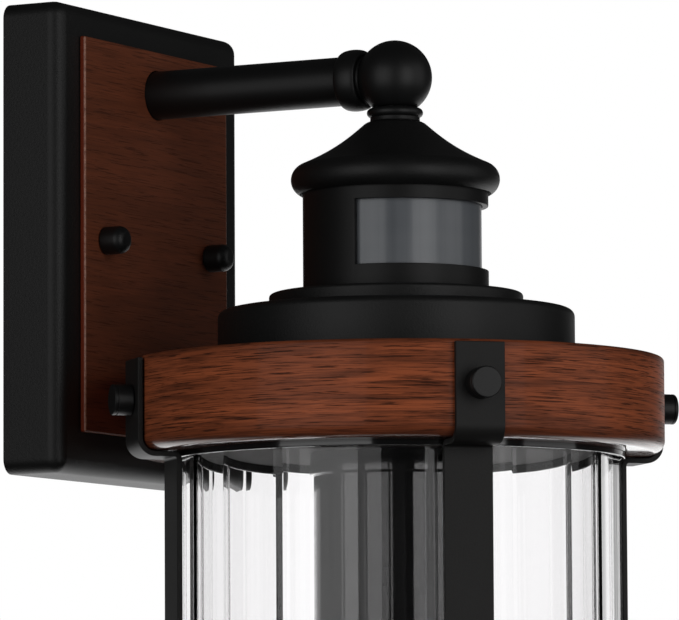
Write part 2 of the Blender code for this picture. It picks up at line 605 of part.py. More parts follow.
def sensor():
    """Sensor housing with its wide window, and the lens, board and detectors in it."""
    at = (0, -REACH, 0)
    outer = SENSOR_RADIUS
    inner = outer - SENSOR_WALL
    foot = SENSOR_TOP - SENSOR_HEIGHT
    bore = PIPE_DIAMETER / 2 + GAP
    outline = [(bore, SENSOR_TOP - SENSOR_WALL), (inner, SENSOR_TOP - SENSOR_WALL), (inner, foot),
               (outer, foot), (outer, SENSOR_TOP), (bore, SENSOR_TOP)]
    housing = turned("sensor_housing", outline)
    top = SENSOR_TOP - WINDOW_TOP
    bottom = top - WINDOW_HEIGHT
    opening = sector("sensor_window", tube_outline(outer + SENSOR_WALL, inner - SENSOR_WALL, bottom, top),
                     WINDOW_HALF_ANGLE, at, MIDDLE_ROUND)
    black(cut(housing, opening))

    lens_outer = inner - GAP
    lip_angle = LENS_LIP / lens_outer
    profile = tube_outline(lens_outer, lens_outer - LENS_WALL, bottom - LENS_LIP, top + LENS_LIP)
    lens = sector("sensor_lens", profile, WINDOW_HALF_ANGLE + lip_angle, at, MIDDLE_ROUND)
    finish(lens, (0.1, 0.11, 0.12), 0.25, 0.0, 0.3)

    middle = (top + bottom) / 2
    front = -REACH - BOARD_OFFSET
    board = block("sensor_board", (BOARD_WIDTH, BOARD_THICKNESS, BOARD_HEIGHT),
                  (0, front + BOARD_THICKNESS / 2, middle))
    finish(board, (0.02, 0.14, 0.05), 0.4)
    eye = rod_outline(PIR_DIAMETER, 0, PIR_HEIGHT)
    zinc(turned("pir_detector", eye, (0, front - GAP, middle), OUTWARD, SMALL_ROUND))
    cell = rod_outline(PHOTOCELL_DIAMETER, 0, PHOTOCELL_HEIGHT)
    cell_at = (-BOARD_WIDTH / 2 + PHOTOCELL_DIAMETER, front - GAP, middle + BOARD_HEIGHT / 4)
    finish(turned("photocell", cell, cell_at, OUTWARD, SMALL_ROUND), (0.5, 0.2, 0.05), 0.5)
    back = front + BOARD_THICKNESS + GAP
    relay_at = (BOARD_WIDTH / 2 - RELAY_SIZE[0], back + RELAY_SIZE[1] / 2, middle)
    finish(block("sensor_relay", RELAY_SIZE, relay_at), (0.02, 0.05, 0.2), 0.4)

    foot = FLANGE_TOP + GAP
    head = middle + BOARD_HEIGHT / 4
    leg = [(0, foot), (LEG_FOOT, foot), (LEG_FOOT, foot + LEG_WALL), (LEG_WALL, foot + LEG_WALL),
           (LEG_WALL, head), (0, head)]
    leg_at = (-BOARD_WIDTH / 2 + LEG_WALL, back, 0)
    zinc(prism("board_bracket", leg, LEG_WIDTH, leg_at, (pi / 2, 0, pi / 2)))


# ---------------------------------------------------------------- cap, rings and cage

def top_of_head():
    """Flange disc and drum-shaped cap, whose brim lies sunk in the upper ring."""
    bore = PIPE_DIAMETER / 2 + GAP
    foot = FLANGE_TOP - FLANGE_THICKNESS
    edge = arc((FLANGE_RADIUS - FLANGE_EDGE, FLANGE_TOP - FLANGE_EDGE), FLANGE_EDGE, 0, 90)
    black(turned("flange_disc", [(bore, foot), (FLANGE_RADIUS, foot)] + edge + [(bore, FLANGE_TOP)]))

    drum = DRUM_RADIUS
    brim = RING_RADIUS - RING_REBATE - GAP
    brim_foot = BRIM_TOP - CAP_WALL
    crown = arc((drum - DRUM_EDGE, CAP_TOP - DRUM_EDGE), DRUM_EDGE, 90, 0)
    under = arc((drum - DRUM_EDGE, CAP_TOP - DRUM_EDGE), DRUM_EDGE - CAP_WALL, 0, 90)
    outline = [(bore, CAP_TOP)] + crown + [(drum, BRIM_TOP), (brim, BRIM_TOP), (brim, brim_foot),
                                           (drum - CAP_WALL, brim_foot)]
    outline += under + [(bore, CAP_TOP - CAP_WALL)]
    black(turned("top_cap", outline))


def wood_ring(name, up, drills):
    """Solid wood ring with its big rounding on the side where the straps turn in."""
    outer, bore, height = RING_RADIUS, RING_BORE, RING_HEIGHT
    soft, hard = RING_OUTER_EDGE, RING_BACK_EDGE
    inside = arc((outer - soft, soft), soft, -90, 0, 4)
    outside = arc((outer - hard, height - hard), hard, 0, 90, 2)
    outline = [(bore, 0)] + inside + outside
    if up:
        sunk = height - CAP_WALL - GAP
        outline += [(outer - RING_REBATE, height), (outer - RING_REBATE, sunk), (bore, sunk)]
        outline = [(r, RING_TOP - RING_HEIGHT + z) for r, z in outline]
    else:
        outline += [(bore, height)]
        outline = [(r, RING_FOOT + RING_HEIGHT - z) for r, z in outline]
    wood(cut(turned(name, outline), *drills))


def liner(drills):
    """Steel liner behind the upper ring, spot-welded by its ledge under the cap's brim."""
    outer = LINER_RADIUS
    inner = outer - LINER_WALL
    ledge = outer - LINER_LEDGE
    outline = [(inner, LINER_FOOT), (outer, LINER_FOOT), (outer, LINER_TOP), (ledge, LINER_TOP),
               (ledge, LINER_TOP - LINER_WALL), (inner, LINER_TOP - LINER_WALL)]
    black(cut(turned("upper_liner", outline), *drills))


def bottom_rim(drills):
    """Steel liner behind the lower ring; its ledge carries the glass."""
    outer = LINER_RADIUS
    inner = outer - LINER_WALL
    ledge = GLASS_RADIUS - SEAT_LEDGE
    top = RING_FOOT + RING_HEIGHT + LINER_DROP
    outline = [(ledge, RIM_FOOT), (outer, RIM_FOOT), (outer, top), (inner, top),
               (inner, RIM_FOOT + PLATE_WALL), (ledge, RIM_FOOT + PLATE_WALL)]
    black(cut(turned("bottom_rim", outline), *drills))


def strap_path():
    """The strap's inner face, from the top of the upper ring to its middle, corners rounded."""
    ring_side = RING_RADIUS + GAP
    glass_side = LINER_RADIUS + GAP
    under = RING_TOP - RING_HEIGHT - GAP
    outer_bend = RING_OUTER_EDGE + GAP
    inner_bend = STRAP_THICKNESS + STRAP_INNER_BEND
    path = [(ring_side, RING_TOP - STRAP_INSET)]
    path += arc((ring_side - outer_bend, under + outer_bend), outer_bend, 0, -90, 4)
    path += arc((glass_side + inner_bend, under - inner_bend), inner_bend, 90, 180, 3)
    return path


def straps():
    """Four flat steel straps bolted through both rings, drawn in between them."""
    middle = RING_TOP - RINGS_OVERALL / 2
    upper = strap_path()
    lower = [(radius, 2 * middle - height) for radius, height in reversed(upper)]
    path = upper + lower
    screw_heights = (RING_TOP - SCREW_INSET, RING_FOOT + SCREW_INSET)
    ring_drills = {height: [] for height in screw_heights}
    for side, degrees in STRAP_ANGLES:
        angle = radians(degrees)
        shape = bmesh.new()
        left = [shape.verts.new((-STRAP_WIDTH / 2, -radius, height)) for radius, height in path]
        right = [shape.verts.new((STRAP_WIDTH / 2, -radius, height)) for radius, height in path]
        for i in range(len(path) - 1):
            shape.faces.new((left[i], left[i + 1], right[i + 1], right[i]))
        strap = place("strap_" + side, shape, (0, -REACH, 0), (0, 0, angle))
        plate = strap.modifiers.new("plate", "SOLIDIFY")
        plate.thickness = STRAP_THICKNESS
        plate.offset = 1
        plate.use_even_offset = True
        soften(strap)
        for height, level in zip(screw_heights, ("upper", "lower")):
            drill = strap_screw(side, angle, height, level)
            ring_drills[height].append(drill)
            cut(strap, drill)
        black(strap)
    return ring_drills[screw_heights[0]], ring_drills[screw_heights[1]]


def strap_screw(side, angle, height, level):
    """Flat-headed screw through strap, wood and liner; returns the drill for its hole."""
    at = (0, -REACH, height)
    turn = (pi / 2, 0, angle)
    seat = RING_RADIUS + 2 * GAP + STRAP_THICKNESS
    head = SCREW_HEAD_DIAMETER / 2
    shank = SCREW_SHANK / 2
    tip = LINER_RADIUS - LINER_WALL + GAP
    top = seat + SCREW_HEAD_LENGTH
    outline = [(0, tip), (shank, tip), (shank, seat), (head, seat), (head, top - SCREW_CHAMFER),
               (head - SCREW_CHAMFER, top), (0, top)]
    black(turned("strap_screw_%s_%s" % (side, level), outline, at, turn, SMALL_ROUND))
    return turned("strap_drill_%s_%s" % (side, level),
                  rod_outline(SCREW_SHANK + 2 * GAP, tip - 3 * LINER_WALL, top), at, turn,
                  SMALL_ROUND)


def glass_and_seats():
    """Clear glass with flat outer facets round a plain bore, between two rubber rings."""
    inner = GLASS_RADIUS - GLASS_WALL
    flats = [(GLASS_RADIUS * cos(2 * pi * i / GLASS_FACETS + GLASS_TURN),
              GLASS_RADIUS * sin(2 * pi * i / GLASS_FACETS + GLASS_TURN)) for i in range(GLASS_FACETS)]
    glass = prism("glass_cylinder", flats, GLASS_TOP - GLASS_FOOT, (0, -REACH, GLASS_FOOT))
    bore = turned("glass_bore", rod_outline(2 * inner, GLASS_FOOT - GLASS_WALL, GLASS_TOP + GLASS_WALL))
    finish(cut(glass, bore), (0.95, 0.97, 0.96), 0.02, 0.0, 1.0)

    for name, foot in (("glass_seal_upper", GLASS_TOP + GAP), ("glass_seal_lower", GLASS_FOOT - GAP
                                                               - SEAT_THICKNESS)):
        seat = tube_outline(GLASS_RADIUS, inner, foot, foot + SEAT_THICKNESS)
        rubber(turned(name, seat))


def lamp_plate():
    """Hat-shaped plate that closes the top of the glass and carries the lamp tube."""
    bore = PIPE_DIAMETER / 2 + GAP
    outer = PLATE_RADIUS
    inner = outer - PLATE_WALL
    outline = [(bore, PLATE_FOOT), (outer, PLATE_FOOT), (outer, PLATE_TOP - PLATE_WALL),
               (GLASS_RADIUS, PLATE_TOP - PLATE_WALL), (GLASS_RADIUS, PLATE_TOP), (inner, PLATE_TOP),
               (inner, PLATE_FOOT + PLATE_WALL), (bore, PLATE_FOOT + PLATE_WALL)]
    black(turned("lamp_plate", outline))


# ---------------------------------------------------------------- lamp holder and bulb

def lamp_holder():
    """Black tube under the plate, with the porcelain holder, threaded shell and contact in it."""
    bore = PIPE_DIAMETER / 2 + GAP
    outer = TUBE_RADIUS
    inner = outer - TUBE_WALL
    foot = TUBE_TOP - TUBE_LENGTH
    band = outer + TUBE_FLANGE
    band_foot = TUBE_TOP - TUBE_FLANGE_HEIGHT
    outline = [(bore, TUBE_TOP - TUBE_WALL), (inner, TUBE_TOP - TUBE_WALL), (inner, foot), (outer, foot),
               (outer, band_foot), (band, band_foot), (band, TUBE_TOP), (bore, TUBE_TOP)]
    black(turned("lamp_tube", outline))

    cavity = SHELL_RADIUS + GAP
    step = HOLDER_TOP - HOLDER_HEAD
    floor = STEM_FOOT - GAP
    wire = LEAD_DIAMETER / 2 + GAP
    outline = [(wire, step), (cavity, step), (cavity, HOLDER_TOP - HOLDER_LENGTH),
               (HOLDER_RADIUS, HOLDER_TOP - HOLDER_LENGTH), (HOLDER_RADIUS, HOLDER_TOP),
               (bore, HOLDER_TOP), (bore, floor), (wire, floor)]
    finish(turned("lamp_holder", outline, steps=MIDDLE_ROUND), (0.75, 0.73, 0.68), 0.3)

    shell_inner = SHELL_RADIUS - SHELL_WALL
    outline = [(SHELL_HOLE, SHELL_TOP - SHELL_WALL), (shell_inner, SHELL_TOP - SHELL_WALL),
               (shell_inner, SHELL_TOP - SHELL_LENGTH), (SHELL_RADIUS, SHELL_TOP - SHELL_LENGTH),
               (SHELL_RADIUS, SHELL_TOP), (SHELL_HOLE, SHELL_TOP)]
    brass(turned("holder_shell", outline, steps=MIDDLE_ROUND))
    contact_foot = BULB_BASE_TOP + BULB_TIP + 2 * GAP
    outline = rod_outline(HOLDER_CONTACT_DIAMETER, contact_foot, SHELL_TOP)
    brass(turned("holder_contact", outline, steps=SMALL_ROUND))


def bulb():
    """Filament-style LED bulb: it screws into the holder and turns about the lantern's axis."""
    axis = bpy.data.objects.new("bulb_axis", None)
    bpy.context.scene.collection.objects.link(axis)
    axis.location = (0, -REACH, BULB_NECK_TOP)

    def piece(name, outline, at=(0, 0), steps=MIDDLE_ROUND):
        made = turned(name, outline, (*at, -BULB_NECK_TOP), steps=steps)
        made.parent = axis
        return made

    top = BULB_BASE_TOP
    foot = BULB_NECK_TOP
    wall = SHELL_WALL
    outer = BULB_BASE_RADIUS
    mouth = BULB_CONTACT_RADIUS + GAP
    shoulder = top - 2 * BULB_BASE_TAPER
    outline = [(mouth, top - wall), (outer - wall - BULB_BASE_TAPER, top - wall), (outer - wall, shoulder),
               (outer - wall, foot), (outer, foot), (outer, shoulder), (outer - BULB_BASE_TAPER, top),
               (mouth, top)]
    brass(piece("bulb_base", outline))
    outline = [(0, top - BULB_CONTACT_BAND), (BULB_CONTACT_RADIUS, top - BULB_CONTACT_BAND),
               (BULB_CONTACT_RADIUS, top + BULB_CONTACT_BAND), (BULB_TIP_RADIUS, top + BULB_TIP),
               (0, top + BULB_TIP)]
    finish(piece("bulb_contact", outline, steps=SMALL_ROUND), (0.3, 0.3, 0.3), 0.4, 1.0)

    neck = BULB_NECK_RADIUS
    neck_top = foot + BULB_IN_BASE
    centre = foot - BULB_LENGTH + BULB_RADIUS
    shoulder = foot - GAP
    swell = []
    for t in (0, 0.25, 0.5, 0.75):
        spread = (BULB_RADIUS - neck) * (1 - cos(pi * t)) / 2
        swell.append((neck + spread, shoulder + (centre - shoulder) * t))
    outer = [(neck, neck_top)] + swell + arc((0, centre), BULB_RADIUS, 0, -80, 6)
    outer.append((0, centre - BULB_RADIUS))
    inner = arc((0, centre), BULB_RADIUS - BULB_WALL, -80, 0, 6)
    inner.insert(0, (0, centre - BULB_RADIUS + BULB_WALL))
    inner += [(radius - BULB_WALL, height) for radius, height in reversed(swell)]
    inner.append((neck - BULB_WALL, neck_top))
    glass = piece("bulb_glass", outer[::-1] + inner[::-1])
    finish(glass, (0.95, 0.95, 0.93), 0.02, 0.0, 1.0)

    post_foot = centre + BULB_RADIUS - FILAMENT_LENGTH
    post = [(0, post_foot), (BULB_POST_RADIUS, post_foot), (BULB_POST_RADIUS, centre + BULB_RADIUS),
            (BULB_STEM_RADIUS, foot - BULB_CONTACT_BAND), (BULB_STEM_RADIUS, neck_top - BULB_CONTACT_BAND),
            (0, neck_top - BULB_CONTACT_BAND)]
    finish(piece("bulb_stem", post, steps=SMALL_ROUND), (0.9, 0.9, 0.9), 0.05, 0.0, 0.8)
    stick = rod_outline(FILAMENT_DIAMETER, centre - FILAMENT_LENGTH / 4, centre + 3 * FILAMENT_LENGTH / 4)
    for number in range(FILAMENT_COUNT):
        angle = 2 * pi * number / FILAMENT_COUNT
        at = (FILAMENT_CIRCLE * cos(angle), FILAMENT_CIRCLE * sin(angle))
        filament = piece("bulb_filament_%d" % (number + 1), stick, at, TINY_ROUND)
        finish(filament, (0.9, 0.6, 0.15), 0.5)


def main():
    for leftover in list(bpy.data.objects):
        bpy.data.objects.remove(leftover, do_unlink=True)
    back_pan()
    wood_panel()
    wall_seal()
    bracket()
    arm()
    ball()
    stem()
    lead()
    canopy()
    sensor()
    top_of_head()
    upper_drills, lower_drills = straps()
    wood_ring("upper_ring", True, upper_drills)
    wood_ring("lower_ring", False, lower_drills)
    liner(upper_drills)
    bottom_rim(lower_drills)
    glass_and_seats()
    lamp_plate()
    lamp_holder()
    bulb()


main()
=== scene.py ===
"""Looks of an outdoor wall lantern: a black pan with a wood face, an arm with a ball, a bell
over a motion sensor, and a glass cylinder in a wood-ringed cage of four straps.

Everything is in metres. The wall is the plane y = 0, the lantern stands out towards -Y, +Z is up.
"""
from math import cos, pi, radians, sin

import bmesh
import bpy
from mathutils import Matrix, Vector


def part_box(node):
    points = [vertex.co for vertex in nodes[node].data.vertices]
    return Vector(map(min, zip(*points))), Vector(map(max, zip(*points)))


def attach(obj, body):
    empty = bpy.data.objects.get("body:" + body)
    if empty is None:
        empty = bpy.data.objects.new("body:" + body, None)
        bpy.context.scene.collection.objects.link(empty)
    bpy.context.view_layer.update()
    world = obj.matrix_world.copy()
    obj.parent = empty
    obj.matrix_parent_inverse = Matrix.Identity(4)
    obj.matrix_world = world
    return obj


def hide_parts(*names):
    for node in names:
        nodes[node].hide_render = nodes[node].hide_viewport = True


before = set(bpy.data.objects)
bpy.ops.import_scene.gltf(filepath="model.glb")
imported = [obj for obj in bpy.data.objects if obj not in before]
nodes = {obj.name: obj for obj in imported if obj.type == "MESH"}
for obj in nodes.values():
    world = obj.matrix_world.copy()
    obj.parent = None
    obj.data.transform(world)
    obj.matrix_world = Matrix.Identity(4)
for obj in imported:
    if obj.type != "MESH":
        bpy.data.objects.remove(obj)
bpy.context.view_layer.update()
bpy.ops.object.select_all(action="DESELECT")


# ---------------------------------------------------------------- studio
# A long lens looks slightly up at the lantern from its front left corner, between three large soft
# boxes. The surround is white to the camera, and lights the lantern only from behind.

class Wire:
    """One output of a node. Arithmetic on wires adds the Math nodes that work it out."""

    def __init__(self, tree, socket=None):
        self.tree = tree
        self.socket = socket

    def node(self, kind, settings=None, sockets=None, output=0):
        """Any node: its settings are set first, then the values or wires of its sockets."""
        made = self.tree.nodes.new("ShaderNode" + kind)
        for key, value in (settings or {}).items():
            setattr(made, key, value)
        for key, value in (sockets or {}).items():
            if isinstance(value, Wire):
                self.tree.links.new(value.socket, made.inputs[key])
            else:
                made.inputs[key].default_value = value
        return Wire(self.tree, made.outputs[output])

    def maths(self, operation, *values):
        return self.node("Math", {"operation": operation}, dict(enumerate(values)))

    def __add__(self, other):
        return self.maths("ADD", self, other)

    def __sub__(self, other):
        return self.maths("SUBTRACT", self, other)

    def __rsub__(self, other):
        return self.maths("SUBTRACT", other, self)

    def __mul__(self, other):
        return self.maths("MULTIPLY", self, other)

    def __pow__(self, other):
        return self.maths("POWER", self, other)

    __radd__ = __add__
    __rmul__ = __mul__

    def mix(self, first, second):
        """A colour between two, by this wire. Each is a wire or its red, green and blue."""
        first, second = [(*colour, 1) if isinstance(colour, tuple) else colour for colour in (first, second)]
        return self.node("Mix", {"data_type": "RGBA"}, {0: self, 6: first, 7: second}, 2)

    def between(self, low, high, start=0.0, end=1.0):
        """This wire's range from low to high, stretched to start and end, and held there."""
        return self.node("MapRange", {}, {0: self, 1: low, 2: high, 3: start, 4: end})

    def beside(self, place):
        """How far this wire is from a value, to either side."""
        return self.maths("ABSOLUTE", self - place)

    def axes(self):
        """The x, y and z of this wire's place."""
        return [self.node("SeparateXYZ", {}, {0: self}, axis) for axis in "XYZ"]

    def noise(self, scale, detail=2.0, roughness=0.5, twist=0.0):
        """Cloudy noise, read at this wire's place."""
        return self.node("TexNoise", {}, {"Vector": self, "Scale": scale, "Detail": detail,
                                          "Roughness": roughness, "Distortion": twist})

    def relief(self, strength, depth):
        """The bumps of a skin whose height is this wire."""
        return self.node("Bump", {}, {"Height": self, "Strength": strength, "Distance": depth})


LANTERN_AXIS_Y = -0.116
AIM = Vector((0, LANTERN_AXIS_Y, -0.04))
CAMERA_AT = (-1.7434, -1.0400, -0.20825)
CAMERA_HEADING = radians(-61.528)
CAMERA_TILT = radians(5.308)
CAMERA_ROLL = radians(-0.302)
CAMERA_SIDE = -62.05                # degrees round from the front
BEHIND_X, BEHIND_Y = 0.883, 0.469   # the level direction that the camera looks in

camera = bpy.data.objects.new("camera", bpy.data.cameras.new("camera"))
bpy.context.scene.collection.objects.link(camera)
camera.data.lens = 315.2
camera.data.sensor_width = 36
camera.data.clip_end = 50
camera.matrix_world = (Matrix.Translation(CAMERA_AT) @ Matrix.Rotation(CAMERA_HEADING, 4, "Z")
                       @ Matrix.Rotation(pi / 2 + CAMERA_TILT, 4, "X")
                       @ Matrix.Rotation(CAMERA_ROLL, 4, "Z"))
bpy.context.scene.camera = camera


def soft_box(name, side, rise, width, height, power, distance=1.6):
    """A rectangular light, placed by its angles from the camera's side and above the horizon."""
    turn = radians(CAMERA_SIDE + side)
    tilt = radians(rise)
    away = Vector((sin(turn) * cos(tilt), -cos(turn) * cos(tilt), sin(tilt)))
    light = bpy.data.objects.new(name, bpy.data.lights.new(name, "AREA"))
    bpy.context.scene.collection.objects.link(light)
    light.data.shape = "RECTANGLE"
    light.data.size = width
    light.data.size_y = height
    light.data.energy = power
    light.location = AIM + away * distance
    light.rotation_euler = away.to_track_quat("Z", "Y").to_euler()
    light.visible_camera = False


soft_box("left_box", -36, 4, 1.4, 1.4, 6.4)
soft_box("near_right_box", 38, 4, 0.95, 1.4, 6.2)
soft_box("far_right_box", 82, 8, 1.0, 1.4, 2.6)

world = bpy.data.worlds.new("studio")
bpy.context.scene.world = world
world.use_nodes = True
surround = Wire(world.node_tree)
seen, through_glass, glossy_turns, diffuse_turns = [
    surround.node("LightPath", output=kind)
    for kind in ("Is Camera Ray", "Is Transmission Ray", "Glossy Depth", "Diffuse Depth")]
straight = (glossy_turns + diffuse_turns).between(0.2, 0.8, 1.04, 0.0)
shown = seen.maths("MAXIMUM", seen, through_glass * straight)
x, y, z = surround.node("TexCoord", output="Generated").axes()
level = x * BEHIND_X + y * BEHIND_Y
low_behind = (level * 0.866 + z * -0.5).between(0.70, 0.90, 0.0, 1.3)
wide = level.between(0.5, 0.85) * through_glass
backdrop = 0.03 + low_behind.maths("MAXIMUM", low_behind, wide)
strength = backdrop.maths("MAXIMUM", backdrop, shown)
surface = world.node_tree.nodes["Background"]
world.node_tree.links.new(strength.socket, surface.inputs["Strength"])
surface.inputs["Color"].default_value = (1, 1, 1, 1)
bpy.context.scene.view_settings.view_transform = "Standard"
bpy.ops.object.select_all(action="DESELECT")


# ---------------------------------------------------------------- backplate pan
# A pan pressed from 1.5 mm steel sheet, open at the wall, with soft corners and front edges. It is
# powder coated black, so its skin is finely pebbled. The arm and two studs pass through it.

PAN_EDGE = 0.005
PAN_WALL = 0.0015


def new_finish(name, **constants):
    """A material, its surface node and its Object coordinates. Constants go on its sockets."""
    material = bpy.data.materials.new(name)
    material.use_nodes = True
    skin = material.node_tree.nodes["Principled BSDF"]
    for key, value in constants.items():
        skin.inputs[key.replace("_", " ")].default_value = value
    return material, skin, Wire(material.node_tree).node("TexCoord", output="Object")


def join(skin, **wires):
    """Joins wires to the sockets of a surface node."""
    for key, wire in wires.items():
        wire.tree.links.new(wire.socket, skin.inputs[key.replace("_", " ")])


def coated(name, deep, raised, roughness, pebble, depth, uneven=0.08, **constants):
    """A sprayed or powder-coated skin: two close shades, fine pebbles and a broad unevenness."""
    material, skin, here = new_finish(name, **constants)
    pebbles = here.noise(pebble, 3.0, 0.55)
    clouds = here.noise(38.0)
    tone = pebbles * 0.65 + clouds * 0.35
    join(skin, Base_Color=tone.between(0.35, 0.65).mix(deep, raised), Normal=pebbles.relief(0.6, depth),
         Roughness=roughness + (clouds - 0.5) * uneven + (pebbles - 0.5) * uneven)
    return material


def shape_new(name):
    """Names the primitive that was just added and opens it in edit mode."""
    piece = bpy.context.object
    piece.name = name
    piece.data.name = name
    bpy.ops.object.mode_set(mode="EDIT")
    return piece


def pick(piece, kind, test):
    """Selects only those points, edges or faces of the open piece that pass a test."""
    bpy.ops.mesh.select_mode(type=kind)
    bpy.ops.mesh.select_all(action="DESELECT")
    shape = bmesh.from_edit_mesh(piece.data)
    for item in {"VERT": shape.verts, "EDGE": shape.edges, "FACE": shape.faces}[kind]:
        if test(item):
            item.select_set(True)
    shape.select_flush_mode()
    bmesh.update_edit_mesh(piece.data)


def middle(edge):
    """The middle of an edge."""
    return (edge.verts[0].co + edge.verts[1].co) / 2


def use(piece, kind, **settings):
    """Adds a modifier with its settings and applies it."""
    bpy.context.view_layer.objects.active = piece
    modifier = piece.modifiers.new(kind.lower(), kind)
    for key, value in settings.items():
        setattr(modifier, key, value)
    bpy.ops.object.modifier_apply(modifier=modifier.name)


def settle(piece):
    """Closes a piece for editing and works its place and turn into its mesh."""
    if piece.mode == "EDIT":
        bpy.ops.object.mode_set(mode="OBJECT")
    bpy.ops.object.select_all(action="DESELECT")
    piece.select_set(True)
    bpy.context.view_layer.objects.active = piece
    bpy.ops.object.transform_apply(location=True, rotation=True, scale=True)


def hand_over(piece, material, slot, *stands_for, body="root", angle=35):
    """Shades a finished piece, dresses it and gives it to the frame in place of CAD nodes."""
    settle(piece)
    bpy.ops.object.shade_smooth_by_angle(angle=radians(angle))
    use(piece, "WEIGHTED_NORMAL", keep_sharp=True)
    piece.data.materials.clear()
    piece.data.materials.append(material)
    piece.select_set(False)
    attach(piece, body)
    if stands_for:
        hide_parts(*stands_for)
    return piece


def soft_block(name, low, high, edge, keep, steps):
    """A block between two corners, with its edges rounded except those that keep() names."""
    bpy.ops.mesh.primitive_cube_add(size=1)
    piece = shape_new(name)
    bpy.ops.transform.resize(value=tuple(high - low))
    bpy.ops.transform.translate(value=tuple((high + low) / 2))
    pick(piece, "EDGE", lambda item: not keep(middle(item)))
    bpy.ops.mesh.bevel(offset=edge, segments=steps, affect="EDGES")
    return piece


powder = coated("black_powder_coat", (0.0060, 0.0061, 0.0062), (0.0100, 0.0100, 0.0098),
                0.47, 1500.0, 0.00012, Specular_IOR_Level=0.36)

low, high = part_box("back_pan")
pan = soft_block("pan_shell", low, high, PAN_EDGE, lambda at: at.y > -PAN_WALL / 4, 8)
pick(pan, "FACE", lambda face: face.normal.y > 0.99)
bpy.ops.mesh.delete(type="FACE")
bpy.ops.object.mode_set(mode="OBJECT")
use(pan, "SOLIDIFY", thickness=PAN_WALL, offset=-1, use_even_offset=True)
hand_over(pan, powder, "powder_black", "back_pan")


# ---------------------------------------------------------------- wood panel
# A thin board on the pan's face inside a black rim, reddish brown with level grain under a satin
# lacquer. Its cut edges took more stain, so they are redder than its face, and a pale, speckled
# painted highlight runs along the front arris of each cut edge.

PANEL_EDGE = 0.0006
PANEL_PALE, PANEL_MIDDLE = (0.240, 0.067, 0.031), (0.190, 0.055, 0.026)
PANEL_DARK, PANEL_PORE = (0.138, 0.0410, 0.0205), (0.095, 0.030, 0.016)
ARM_HOLE_RADIUS = 0.00855
ARM_Z = 0.053


def planks(along, across, depth, pale, mid, dark, pore):
    """Colour, bumps and pores of wood whose grain runs level, from wires along and across it."""
    def grain(stretch, fineness, detail, twist=0.0):
        sockets = {0: along[0] * stretch, 1: along[1] * stretch, 2: across * fineness}
        return across.node("CombineXYZ", {}, sockets).noise(1.0, detail, 0.6, twist)

    broad = grain(9.0, 90.0, 3.0, 0.6)
    figure = grain(20.0, 420.0, 6.0, 0.5)
    fibres = grain(48.0, 1700.0, 5.0, 0.2)
    pores = grain(70.0, 2300.0, 3.0)
    tone = broad.between(0.36, 0.64).mix(mid, pale)
    tone = (figure.between(0.49, 0.63) * 0.60).mix(tone, dark)
    tone = (fibres.between(0.47, 0.62) * 0.55).mix(tone, dark)
    holes = pores.between(0.55, 0.62)
    tone = (holes * 0.80).mix(tone, pore)
    height = 1 - holes * 0.7 - fibres.between(0.4, 0.8) * 0.3
    return tone, height.relief(0.5, depth), holes


def cut(piece, cutter):
    """Cuts one piece with another, which is then thrown away."""
    bpy.ops.object.select_all(action="DESELECT")
    use(piece, "BOOLEAN", operation="DIFFERENCE", object=cutter, solver="EXACT")
    bpy.data.objects.remove(cutter, do_unlink=True)


satin_wood, skin, here = new_finish("satin_stained_wood", Specular_IOR_Level=0.12,
                                    Coat_Roughness=0.12, Coat_IOR=1.45)
x, y, z = here.axes()
tone, bumps, holes = planks((x, y), z, 0.00006, PANEL_PALE, PANEL_MIDDLE, PANEL_DARK, PANEL_PORE)
low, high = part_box("wood_panel")
side_edge = x.beside(0).between(high.x - 0.0009, high.x - 0.0001)
# Painted highlight: a pale, speckled line along the front arris of each cut edge stands for light catching the
# rounded edge.
highlight_speckle = here.noise(700.0, 3.0).between(0.35, 0.6, 0.3, 1.0)
flank = side_edge * y.between(low.y + 0.0002, low.y + 0.0008)
arris_highlight = side_edge * y.between(low.y + 0.0002, low.y + 0.0006, 1.0, 0.0) * highlight_speckle
stained = flank.mix(tone, (0.250, 0.036, 0.011))
with_arris_highlight = (arris_highlight * 0.60).mix(stained, (0.80, 0.44, 0.32))
join(skin, Base_Color=with_arris_highlight, Normal=bumps, Roughness=0.46 + holes * 0.25, Coat_Weight=side_edge * 0.8)

panel = soft_block("panel_board", low, high, PANEL_EDGE, lambda at: at.y > high.y - 0.0002, 3)
bpy.ops.object.mode_set(mode="OBJECT")
bpy.ops.object.select_all(action="DESELECT")
bpy.ops.mesh.primitive_cylinder_add(vertices=64, radius=ARM_HOLE_RADIUS, depth=0.02,
                                    location=(0, (low.y + high.y) / 2, ARM_Z), rotation=(pi / 2, 0, 0))
cut(panel, bpy.context.object)
hand_over(panel, satin_wood, "wood", "wood_panel")


# ---------------------------------------------------------------- cap nuts
# Two round-ended nuts of turned steel, black like the pan but smoother. Each turns on its stud and
# pulls the pan against the wall.

def curve(centre_radius, centre_height, radius, start, end, steps=8):
    """Points of a rounded edge in (radius, height), angles in degrees from the outward side."""
    turns = [radians(start + (end - start) * i / steps) for i in range(steps + 1)]
    return [(centre_radius + radius * cos(t), centre_height + radius * sin(t)) for t in turns]


